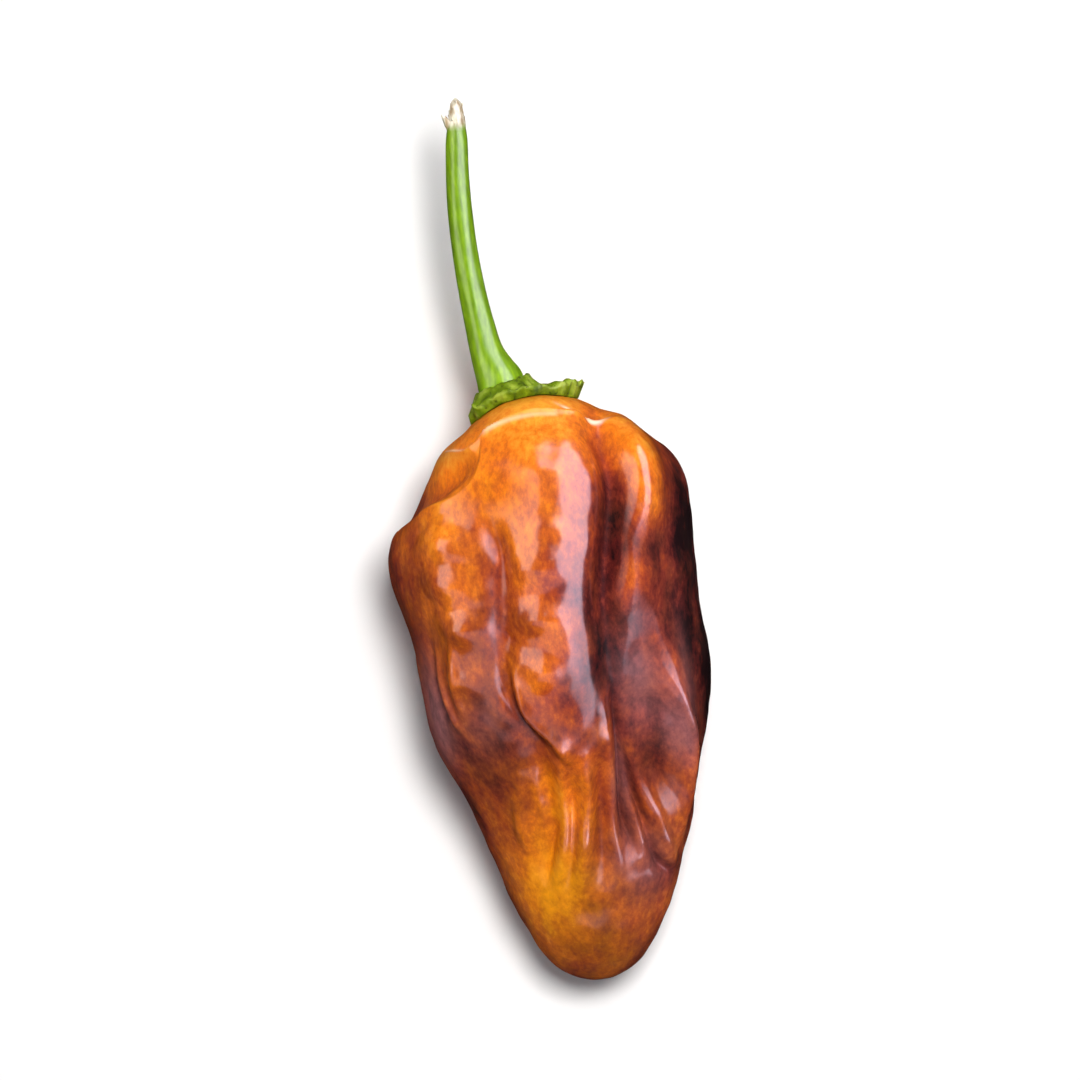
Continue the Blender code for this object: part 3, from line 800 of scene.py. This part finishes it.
def calyx_finish(look):
    """Leafy green with painted shade between its ribs and painted light on them and its rim, and small dark
    flecks.
    """
    material, board, shader = new_finish("calyx_green", look.roughness, look.coat, look.coat_roughness)
    fine = board.grain(LEAF_GRAIN)
    tone = board.attribute("paleness") + (fine - 0.5) * LEAF_MOTTLE
    green = board.ramp(tone, LEAF_STEPS, (look.dark, look.green, look.pale))
    flecks = board.ramp(board.grain(LEAF_FLECKS), FLECK_STEPS, ((1, 1, 1), (0, 0, 0)))
    flecked = board.mix(flecks * FLECK_COVER, green, (*look.fleck, 1.0))
    plug(board, shader, flecked, board.bump(fine, LEAF_BUMP, LEAF_DEPTH))
    return material


def stem_finish(look):
    """Yellow-green stalk with fine lengthwise streaks, and pale cork at its torn end."""
    material, board, shader = new_finish("stem_green", look.roughness, look.coat, look.coat_roughness)
    shader.inputs["Coat IOR"].default_value = look.coat_index
    streak = board.grain(STALK_STREAKS)
    fine = board.grain(STALK_GRAIN)
    tone = streak * 0.5 + fine * 0.5
    where = board.node("ShaderNodeTexCoord", output="Object")
    along = board.node("ShaderNodeSeparateXYZ", {"Vector": where}, output="Y")
    foot = board.node("ShaderNodeMapRange", {
        "Value": along, "From Min": look.foot_end, "From Max": look.foot_start, "To Max": FOOT_PALENESS,
    })
    green = board.ramp(tone + foot, STALK_STEPS, (look.dark, look.green, look.pale))
    cork = board.ramp(fine, CORK_STEPS, (look.cork_shade, look.cork))
    stalk = board.mix(board.attribute("torn"), green, cork)
    plug(board, shader, stalk, board.bump(tone, STALK_BUMP, STALK_DEPTH))
    return material


def make_pod(look):
    """The fruit, with its lobes, folds and wrinkles, how ripe it is all over, and where light and shade are
    painted on it.
    """
    mesh, points = closed_body(
        "pepper_pod", look.sides, look.rings,
        lambda share, angle: pod_skin(share, angle, look.relief), look.crowd,
    )
    store(mesh, "ripeness", patched(points, RIPENESS_BASE, RIPENESS_AND_PAINTED_LIGHT))
    store(mesh, "gold", patched(points, GOLD_BASE, GOLD))
    store(mesh, "bloom", patched(points, 0.0, PAINTED_SHEEN))
    store(mesh, "wax", patched(points, 1.0, WAX))
    mesh.materials.append(pod_finish(look))
    return add_piece("pepper_pod", mesh, "pod")


def calyx_rim(angle):
    """Radius and s of the calyx's ragged rim, which droops on the left."""
    round_it = np.column_stack((np.cos(angle), np.sin(angle), angle * 0))
    notches, frills = (depth * noise_at(round_it, size, shift) for depth, size, shift in (NOTCHES, FRILLS))
    radius = CALYX_RIM_RADIUS + notches
    s = CALYX_RIM_S + CALYX_LEFT_DROP * np.clip(-np.cos(angle), 0.0, 1.0) ** DROOP_POWER
    s = s + frills
    for degrees, reach, outward, upward in CALYX_TEETH:
        turn = np.remainder(np.degrees(angle) - degrees + 180, 360) - 180
        here = np.exp(-(turn / reach) ** 2)
        radius = radius + outward * here
        s = s - upward * here
    return radius, s


def seat_height(x):
    """s of the tilted seat that the stem stands on."""
    return SEAT_S - SEAT_TILT * (x - SEAT_X)


def pod_under_calyx(tree, x, height):
    """s of the pod's skin right under a point of the calyx."""
    above = Vector((x * MM, (REST_STATION + CALYX_RIM_RADIUS * 2) * MM, height * MM))
    hit = tree.ray_cast(above, Vector((0.0, -1.0, 0.0)))[0]
    return REST_STATION - hit.y / MM


def calyx_skin(share, angle, tree, wrinkles):
    """Points of the calyx, whose underside keeps just clear of the pod, and its tone at each, with painted
    light on its ribs and rim.
    """
    upper = share <= 0.5
    out = np.where(upper, share * 2, 2 - share * 2)
    radius, rim_s = calyx_rim(angle)
    start = np.where(upper, SEAT_X, 0.0)
    x = start * (1 - out) + radius * np.cos(angle) * out
    height = SHOULDER_HEIGHT + radius * np.sin(angle) * out
    from_seat = np.hypot(x - SEAT_X, height - SHOULDER_HEIGHT)
    blend = smoothstep(SEAT_RADIUS, SEAT_RADIUS + SEAT_BLEND, from_seat)
    across = np.column_stack((x, height, x * 0))
    ribs = np.cos(RIBS * angle + RIB_SWING * np.sin(2 * angle)) * out
    ribs = ribs + WRINKLE_SHARE * noise_at(across, WRINKLE_SIZE)
    lip = SEAT_LIP * np.exp(-((from_seat - SEAT_RADIUS) / SEAT_LIP_WIDTH) ** 2)
    lip = lip * (1 + LIP_LUMPS * noise_at(across, LIP_LUMP_SIZE))
    top = seat_height(x) * (1 - blend) + (rim_s + wrinkles * ribs) * blend - lip
    thickness = CALYX_EDGE * np.minimum((1 - out) * EDGE_TAPER, 1.0)
    below = np.array([pod_under_calyx(tree, *spot) for spot in zip(x, height)])
    under = np.minimum(rim_s + thickness + CALYX_FLARE * radius * (1 - out), below - CALYX_GAP)
    top = np.minimum(top, under - thickness)
    points = np.column_stack((x, REST_STATION - np.where(upper, top, under), height))
    # Painted light on the raised ribs and along the top of the rim, and painted shade in the wrinkles; the
    # mottle is the leaf's own
    painted_light_on_top = (RIB_PAINTED_LIGHT * ribs + RIM_PAINTED_LIGHT * smoothstep(RIM_PAINTED_LIGHT_FROM, 1.0, out)) * upper
    return points, {"paleness": PALE_BASE + PALE_MOTTLE * noise_at(points, PALE_MOTTLE_SIZE) + painted_light_on_top}


def make_calyx(look):
    """The collar of sepals on the pod's shoulder."""
    pod = bpy.data.objects["pepper_pod"]
    tree = BVHTree.FromObject(pod, bpy.context.evaluated_depsgraph_get())
    mesh, _ = closed_body(
        "pepper_calyx", look.sides, look.rings,
        lambda share, angle: calyx_skin(share, angle, tree, look.wrinkles),
    )
    mesh.materials.append(calyx_finish(look))
    return add_piece("pepper_calyx", mesh, "calyx")


def new_tree(name, inputs):
    """An empty Geometry Nodes tree with a Geometry input, and its other inputs as (name, kind, default)."""
    tree = bpy.data.node_groups.new(name, "GeometryNodeTree")
    tree.interface.new_socket("Geometry", in_out="INPUT", socket_type="NodeSocketGeometry")
    for input_name, kind, default in inputs:
        socket = tree.interface.new_socket(input_name, in_out="INPUT", socket_type=kind)
        if default is not None:
            socket.default_value = default
    tree.interface.new_socket("Geometry", in_out="OUTPUT", socket_type="NodeSocketGeometry")
    board = Board(tree)
    return board, board.node("NodeGroupInput")


def end_tree(board, geometry, material):
    """Ends a tree: instances made real, faces smooth, and the material set."""
    real = board.node("GeometryNodeRealizeInstances", {"Geometry": geometry})
    smooth = board.node("GeometryNodeSetShadeSmooth", {"Geometry": real})
    coloured = board.node("GeometryNodeSetMaterial", {"Geometry": smooth, "Material": material})
    board.node("NodeGroupOutput", {"Geometry": coloured})


def grow(start, tree, values):
    """Runs a tree on an object, which it uses up, and gives the result as a plain mesh."""
    modifier = start.modifiers.new("Grow", "NODES")
    modifier.node_group = tree
    for socket in tree.interface.items_tree:
        if socket.in_out == "INPUT" and socket.name in values:
            modifier[socket.identifier] = values[socket.name]
    bpy.context.scene.collection.objects.link(start)
    graph = bpy.context.evaluated_depsgraph_get()
    mesh = bpy.data.meshes.new_from_object(start.evaluated_get(graph), depsgraph=graph)
    start.modifiers.remove(modifier)
    bpy.data.objects.remove(start, do_unlink=True)
    return mesh


# The inputs of the stem's tree: those that StemLook has by the same name follow it
STEM_INPUTS = (
    ("Sides", "NodeSocketInt", 48),
    ("Ridges", "NodeSocketInt", 5),
    ("Ridge Height", "NodeSocketFloat", 0.015),
    ("Twist", "NodeSocketFloat", 2.5),
    ("Torn From", "NodeSocketFloat", 0.0527),
    ("Torn To", "NodeSocketFloat", 0.0537),
    ("Tear", "NodeSocketFloat", 0.0005),
    ("Fibre Density", "NodeSocketFloat", 1.5e6),
    ("Fibre Length", "NodeSocketFloat", 0.0003),
    ("Seed", "NodeSocketInt", 3),
    ("Material", "NodeSocketMaterial", None),
)

# The torn end: its lumps, and the thin cones that stand on it as fibres, in metres
TEAR_GRAIN = 1800.0
TEAR_DETAIL = 2.0
TORN_ENOUGH = 0.8
FIBRE_SIDES = 5
FIBRE_TOP = 0.00003
FIBRE_FOOT = 0.00014
FIBRE_LEAN = 0.8
FIBRE_SIZES = (0.3, 1.1)


def ridged_profile(board, given):
    """A circle of radius 1 with low ridges."""
    circle = board.node("GeometryNodeCurvePrimitiveCircle", {"Resolution": given["Sides"], "Radius": 1.0})
    where = board.node("GeometryNodeInputPosition")
    parts = board.node("ShaderNodeSeparateXYZ", {"Vector": where})
    angle = board.maths("ARCTAN2", parts["Y"], parts)
    ridges = board.maths("COSINE", angle * given["Ridges"])
    size = 1.0 + ridges * given["Ridge Height"]
    ridged = board.node("ShaderNodeVectorMath", {"Vector": where, "Scale": size}, operation="SCALE")
    return board.node("GeometryNodeSetPosition", {"Geometry": circle, "Position": ridged})


def torn_surface(board, given, sweep):
    """The sweep with its far end torn: a number for how torn it is, and a ragged surface there."""
    where = board.node("GeometryNodeInputPosition")
    parts = board.node("ShaderNodeSeparateXYZ", {"Vector": where})
    torn = board.node("ShaderNodeMapRange", {
        "Value": parts["Y"],
        "From Min": given["Torn From"],
        "From Max": given["Torn To"],
    }, interpolation_type="SMOOTHSTEP")
    marked = board.node("GeometryNodeStoreNamedAttribute", {
        "Geometry": sweep, "Name": "torn", "Value": torn,
    }, data_type="FLOAT")
    grain = {"Scale": TEAR_GRAIN, "Detail": TEAR_DETAIL}
    lumps = board.node("ShaderNodeTexNoise", grain, output="Color")
    centred = board.node("ShaderNodeVectorMath", {0: lumps, 1: (0.5, 0.5, 0.5)}, operation="SUBTRACT")
    push = board.node("ShaderNodeVectorMath", {
        "Vector": centred, "Scale": torn * given["Tear"],
    }, operation="SCALE")
    return board.node("GeometryNodeSetPosition", {"Geometry": marked, "Offset": push})


def torn_fibres(board, given, surface):
    """Small fibres that stick out of the torn end."""
    torn = board.node("GeometryNodeInputNamedAttribute", {"Name": "torn"}, data_type="FLOAT")
    scatter = board.node("GeometryNodeDistributePointsOnFaces", {
        "Mesh": surface,
        "Density": given["Fibre Density"] * board.maths("GREATER_THAN", torn, TORN_ENOUGH),
        "Seed": given["Seed"],
    })
    lean = board.node("FunctionNodeAlignRotationToVector", {
        "Rotation": scatter["Rotation"], "Factor": FIBRE_LEAN, "Vector": (0.0, 1.0, 0.0),
    }, axis="Z")
    fibre = board.node("GeometryNodeMeshCone", {
        "Vertices": FIBRE_SIDES,
        "Radius Top": FIBRE_TOP,
        "Radius Bottom": FIBRE_FOOT,
        "Depth": given["Fibre Length"],
    })
    size = board.node("FunctionNodeRandomValue", {
        2: FIBRE_SIZES[0], 3: FIBRE_SIZES[1], "Seed": given["Seed"],
    }, output=1, data_type="FLOAT")
    fibres = board.node("GeometryNodeInstanceOnPoints", {
        "Points": scatter, "Instance": fibre, "Rotation": lean, "Scale": size,
    })
    return board.node("GeometryNodeStoreNamedAttribute", {
        "Geometry": fibres, "Name": "torn", "Value": 1.0,
    }, data_type="FLOAT", domain="INSTANCE")


def stem_tree():
    """Sweeps a ridged, slowly turning profile along each curve, and tears the far end."""
    board, given = new_tree("Stem", STEM_INPUTS)
    turned = board.node("GeometryNodeSetCurveTilt", {
        "Curve": given,
        "Tilt": board.node("GeometryNodeSplineParameter", output="Factor") * given["Twist"],
    })
    sweep = board.node("GeometryNodeCurveToMesh", {
        "Curve": turned,
        "Profile Curve": ridged_profile(board, given),
        "Scale": board.node("GeometryNodeInputRadius"),
        "Fill Caps": True,
    })
    surface = torn_surface(board, given, sweep)
    joined = board.node("GeometryNodeJoinGeometry", {
        "Geometry": [surface, torn_fibres(board, given, surface)],
    })
    end_tree(board, joined, given["Material"])
    return board.tree


def add_run(curve, rows):
    """Adds a run of points, given as (s, x, height, radius), to a curve."""
    spline = curve.splines.new("POLY")
    spline.points.add(len(rows) - 1)
    for point, (s, x, height, radius) in zip(spline.points, rows):
        point.co = (x * MM, (REST_STATION - s) * MM, height * MM, 1.0)
        point.radius = radius * MM


def make_stem(look):
    """The stalk, from its foot on the calyx to its torn end, with a flake of its rind."""
    curve = bpy.data.curves.new("stem_line", "CURVE")
    curve.dimensions = "3D"
    marks = marks_along(STEM_SECTIONS[:, :3], STEM_SECTIONS[:, 3])
    steps = np.append(np.arange(0.0, marks[-1], STEM_STEP), marks[-1])
    add_run(curve, smooth_rows(STEM_SECTIONS, marks, steps))
    add_run(curve, FLAKE)
    values = {
        name: getattr(look, name.lower().replace(" ", "_"), default) for name, _, default in STEM_INPUTS
    }
    values["Material"] = stem_finish(look)
    mesh = grow(bpy.data.objects.new("stem_line", curve), stem_tree(), values)
    mesh.name = "pepper_stem"
    return add_piece("pepper_stem", mesh, "stem")


class SoftBox(NamedTuple):
    """A soft box that the camera doesn't see: it shows in the gloss, or else only lights."""
    name: str
    what: str
    in_gloss: bool
    place: tuple
    size: tuple
    power: float
    colour: tuple


SOFT_BOXES = (
    SoftBox("key_light", "the main light", False, (0.07, 0.10, 0.56), (0.15, 0.15), 3.7, (1.0, 0.98, 0.96)),
    SoftBox(
        "left_gloss", "the light for the gloss on the left", True,
        (-0.45, 0.16, 0.43), (0.52, 0.44), 3.8, (1.0, 0.86, 0.82),
    ),
    SoftBox(
        "right_gloss", "the light for the gloss on the right", True,
        (0.365, 0.12, 0.44), (1.5, 0.61), 30.0, (0.88, 0.8, 1.0),
    ),
    SoftBox(
        "low_gloss", "the light for the gloss towards the tip", True,
        (-0.06, -0.30, 0.46), (1.1, 0.32), 2.2, (0.82, 0.76, 1.0),
    ),
)


def add_soft_box(look, kind):
    """Hangs a soft box, turned towards the pepper."""
    light = bpy.data.lights.new(kind.name, "AREA")
    light.shape = "RECTANGLE"
    light.size, light.size_y = getattr(look, kind.name + "_size")
    light.energy = getattr(look, kind.name + "_power")
    light.color = getattr(look, kind.name + "_colour")
    box = bpy.data.objects.new(kind.name, light)
    box.location = getattr(look, kind.name + "_place")
    box.rotation_euler = (-box.location).to_track_quat("-Z", "Y").to_euler()
    box.visible_camera = False
    box.visible_glossy = kind.in_gloss
    box.visible_diffuse = not kind.in_gloss
    bpy.context.scene.collection.objects.link(box)


def make_floor(look):
    """A large pale floor."""
    bpy.ops.mesh.primitive_plane_add(size=look.floor_size)
    floor = bpy.context.object
    floor.name = "floor"
    material, board, shader = new_finish("floor_paint", look.floor_roughness)
    shade = (*(part * CLOUD_SHADE for part in look.floor), 1.0)
    clouded = board.mix(board.grain(FLOOR_CLOUDS), (*look.floor, 1.0), shade)
    plug(board, shader, clouded, board.bump(board.grain(FLOOR_GRAIN), FLOOR_BUMP, FLOOR_DEPTH))
    floor.data.materials.append(material)
    floor.visible_glossy = False


def make_camera(look):
    """A camera straight above the middle of the pepper, turned as the pepper lies in the picture."""
    low, high = CAD_BOX
    camera = bpy.data.cameras.new("camera")
    camera.lens = look.lens
    distance = look.frame_width * camera.lens / camera.sensor_width
    holder = bpy.data.objects.new("camera", camera)
    holder.location = ((low.x + high.x) / 2, (low.y + high.y) / 2, high.z / 2 + distance)
    holder.rotation_euler = (0.0, 0.0, look.turn)
    bpy.context.scene.collection.objects.link(holder)
    bpy.context.scene.camera = holder


def make_stage(look):
    """Floor, lights, backdrop light and camera."""
    scene = bpy.context.scene
    make_floor(look)
    for kind in SOFT_BOXES:
        add_soft_box(look, kind)
    scene.world = bpy.data.worlds.new("studio")
    scene.world.use_nodes = True
    scene.world.cycles_visibility.glossy = False
    background = scene.world.node_tree.nodes["Background"]
    background.inputs["Color"].default_value = (*look.air, 1.0)
    background.inputs["Strength"].default_value = look.air_strength
    make_camera(look)
    scene.view_settings.view_transform = "Standard"


def colour(name, description, default):
    """A colour that a user can change."""
    return FloatVectorProperty(
        name=name, description=description, subtype="COLOR", min=0, max=1, default=default,
    )


def amount(name, description, default, **limits):
    """A number that a user can change."""
    return FloatProperty(name=name, description=description, default=default, **limits)


def fraction(name, description, default):
    """A number from 0 to 1 that a user can change."""
    return amount(name, description, default, min=0, max=1, subtype="FACTOR")


def length(name, description, default):
    """A length that a user can change, in metres."""
    return FloatProperty(name=name, description=description, default=default, unit="LENGTH", precision=5)


def count(name, description, default):
    """A whole number that a user can change."""
    return IntProperty(name=name, description=description, default=default, min=1)


def soft_box_values(kind):
    """The values of a soft box that a user can change, by name."""
    label = kind.name.replace("_", " ").title()
    return {
        kind.name + "_place": FloatVectorProperty(
            name=label + " Place", description="Where %s hangs" % kind.what,
            subtype="TRANSLATION", default=kind.place,
        ),
        kind.name + "_size": FloatVectorProperty(
            name=label + " Size", description="Width and depth of %s" % kind.what,
            unit="LENGTH", size=2, default=kind.size,
        ),
        kind.name + "_power": amount(
            label + " Power", "Power of %s" % kind.what, kind.power, min=0, unit="POWER",
        ),
        kind.name + "_colour": colour(label + " Colour", "Colour of %s" % kind.what, kind.colour),
    }


class PodLook(bpy.types.PropertyGroup):
    """How the pod is made and coloured."""
    sides: count("Sides", "Faces round the pod", 300)
    rings: count("Rings", "Faces along the pod", 324)
    crowd: amount("Crowding", "How much closer together the faces are on top", 0.35, min=0, max=0.9)
    relief: amount("Fine Relief", "Strength of the small folds, wrinkles and waves", 1.0, min=0)
    # Colour of the painted lilac sheen, a painted reflection on the flanks
    bloom: colour("Bloom", "The dull bloom on parts of the skin", (0.42, 0.19, 0.21))
    # Colour of the painted highlight along the seams
    seam: colour("Seam", "The thin pale seams near the stem", (1.0, 0.7, 0.48))
    speckle: amount("Speckle", "Strength of the fine grain in the colour", 0.6, min=0)
    blotches: amount("Blotches", "Strength of the soft blotches in the colour", 0.9, min=0)
    evening_out: amount("Evening Out", "Ripeness at which the soft blotches would be gone", 1.35, min=0)
    gold_blotches: amount("Gold Blotches", "How patchy the golden skin is", 0.9, min=0)
    # Strength of the painted shade in the valleys and painted light on the ridges, per millimetre of lift
    painted_relief_shade: amount("Ripe Ridges", "How much riper the skin is per millimetre of lift", 0.08)
    roughness: fraction("Roughness", "Roughness of the skin under its wax", 0.36)
    dulling: fraction("Dulling", "How much rougher the skin is where it has no wax", 0.3)
    coat: fraction("Wax", "Weight of the wax coat", 0.85)
    bare_below: amount("Bare Below", "Lift in millimetres under which a valley has no wax", -0.7)
    waxed_above: amount("Waxed Above", "Lift in millimetres over which the wax is whole", 0.5)
    coat_roughness: fraction("Wax Roughness", "Roughness of the wax coat", 0.18)
    bump: fraction("Bump", "Strength of the finest relief", 0.5)


class CalyxLook(bpy.types.PropertyGroup):
    """How the calyx is made and coloured."""
    sides: count("Sides", "Faces round the calyx", 200)
    rings: count("Rings", "Faces from its middle over the rim and back", 80)
    wrinkles: amount("Wrinkles", "Height of the ribs that run out to the rim, in millimetres", 0.24, min=0)
    # The dark and pale greens are also where the painted shade in the wrinkles and the painted light on the
    # ribs and rim reach
    dark: colour("Dark", "Green in the wrinkles", (0.035, 0.07, 0.002))
    green: colour("Green", "Green of the sepals", (0.16, 0.25, 0.004))
    pale: colour("Pale", "Green of the ribs", (0.38, 0.49, 0.05))
    fleck: colour("Flecks", "Small dark flecks", (0.012, 0.022, 0.004))
    roughness: fraction("Roughness", "Roughness of the leafy skin", 0.5)
    coat: fraction("Coat", "Weight of its clear skin", 0.15)
    coat_roughness: fraction("Coat Roughness", "Roughness of its clear skin", 0.3)


class StemLook(bpy.types.PropertyGroup):
    """How the stem is made and coloured."""
    sides: count("Sides", "Faces round the stem", 48)
    ridges: count("Ridges", "Low ridges along the stem", 5)
    ridge_height: amount("Ridge Height", "Height of the ridges as a share of the radius", 0.015, min=0)
    twist: amount("Twist", "How far the ridges turn along the stem", 2.5, subtype="ANGLE")
    tear: length("Tear", "How ragged the torn end is", 0.0005)
    fibre_length: length("Fibre Length", "Length of the fibres at the torn end", 0.0003)
    seed: count("Seed", "Changes where the fibres stand", 3)
    foot_start: length("Foot Start", "Where along the pepper the stem's foot is palest", 0.0265)
    foot_end: length("Foot End", "Where along the pepper the stem's paler foot ends", 0.034)
    dark: colour("Dark", "Green of the dark streaks", (0.05, 0.11, 0.001))
    green: colour("Green", "Green of the stalk", (0.16, 0.31, 0.001))
    pale: colour("Pale", "Green of the pale streaks", (0.33, 0.56, 0.003))
    cork: colour("Cork", "The pale torn end", (0.80, 0.76, 0.60))
    cork_shade: colour("Cork Shade", "The torn end's brown edges", (0.36, 0.25, 0.13))
    roughness: fraction("Roughness", "Roughness of the stalk", 0.4)
    coat: fraction("Coat", "Weight of its clear skin", 0.6)
    coat_roughness: fraction("Coat Roughness", "Roughness of its clear skin", 0.26)
    coat_index: amount("Coat Index", "Refractive index of its clear skin", 1.55, min=1, max=4)


class StageLook(bpy.types.PropertyGroup):
    """The studio."""
    lens: amount("Lens", "Focal length in millimetres", 200.0, min=10)
    frame_width: length("Frame Width", "Width of what the camera sees", 0.11)
    turn: amount("Turn", "How far round the camera is turned", math.radians(-7.26), subtype="ANGLE")
    air: colour("Air", "Colour of the light from all sides", (0.93, 0.95, 1.0))
    air_strength: amount("Air Strength", "Strength of the light from all sides", 0.22, min=0)
    floor: colour("Floor", "Colour of the floor", (0.86, 0.86, 0.86))
    floor_size: length("Floor Size", "Width of the floor", 4.0)
    floor_roughness: fraction("Floor Roughness", "Roughness of the floor", 0.8)


for hue, tones in (("Red", RED_TONES), ("Golden", GOLDEN_TONES)):
    for ripeness, (name, tone) in zip(RIPE_STEPS, tones.items()):
        label, description = name.replace("_", " ").title(), "%s skin at ripeness %s" % (hue, ripeness)
        PodLook.__annotations__[name] = colour(label, description, tone)

for kind in SOFT_BOXES:
    StageLook.__annotations__.update(soft_box_values(kind))


class MakePod(bpy.types.Operator):
    """Make the pepper's pod"""
    bl_idname = "pepper.make_pod"
    bl_label = "Make Pod"

    def execute(self, context):
        make_pod(context.scene.pepper_pod)
        return {"FINISHED"}


class MakeCalyx(bpy.types.Operator):
    """Make the calyx on the pod's shoulder, once the pod is there"""
    bl_idname = "pepper.make_calyx"
    bl_label = "Make Calyx"

    def execute(self, context):
        make_calyx(context.scene.pepper_calyx)
        return {"FINISHED"}


class MakeStem(bpy.types.Operator):
    """Make the stem with its torn end"""
    bl_idname = "pepper.make_stem"
    bl_label = "Make Stem"

    def execute(self, context):
        make_stem(context.scene.pepper_stem)
        return {"FINISHED"}


class MakeStage(bpy.types.Operator):
    """Make the floor, the lights and the camera"""
    bl_idname = "pepper.make_stage"
    bl_label = "Make Stage"

    def execute(self, context):
        make_stage(context.scene.pepper_stage)
        return {"FINISHED"}


class PepperPanel(bpy.types.Panel):
    """Lists what can be made, and what can be changed first"""
    bl_idname = "VIEW3D_PT_pepper"
    bl_label = "Chili Pepper"
    bl_space_type = "VIEW_3D"
    bl_region_type = "UI"
    bl_category = "Pepper"

    def draw(self, context):
        for operator, group_name, group in PARTS:
            box = self.layout.box()
            box.operator(operator.bl_idname)
            for value in group.__annotations__:
                box.prop(getattr(context.scene, group_name), value)


PARTS = (
    (MakePod, "pepper_pod", PodLook),
    (MakeCalyx, "pepper_calyx", CalyxLook),
    (MakeStem, "pepper_stem", StemLook),
    (MakeStage, "pepper_stage", StageLook),
)


def register():
    for operator, group_name, group in PARTS:
        bpy.utils.register_class(group)
        bpy.utils.register_class(operator)
        setattr(bpy.types.Scene, group_name, PointerProperty(type=group))
    bpy.utils.register_class(PepperPanel)


def unregister():
    bpy.utils.unregister_class(PepperPanel)
    for operator, group_name, group in reversed(PARTS):
        delattr(bpy.types.Scene, group_name)
        bpy.utils.unregister_class(operator)
        bpy.utils.unregister_class(group)


def main():
    register()
    bpy.ops.pepper.make_pod()
    bpy.ops.pepper.make_calyx()
    bpy.ops.pepper.make_stem()
    bpy.ops.pepper.make_stage()


if __name__ == "__main__":
    main()
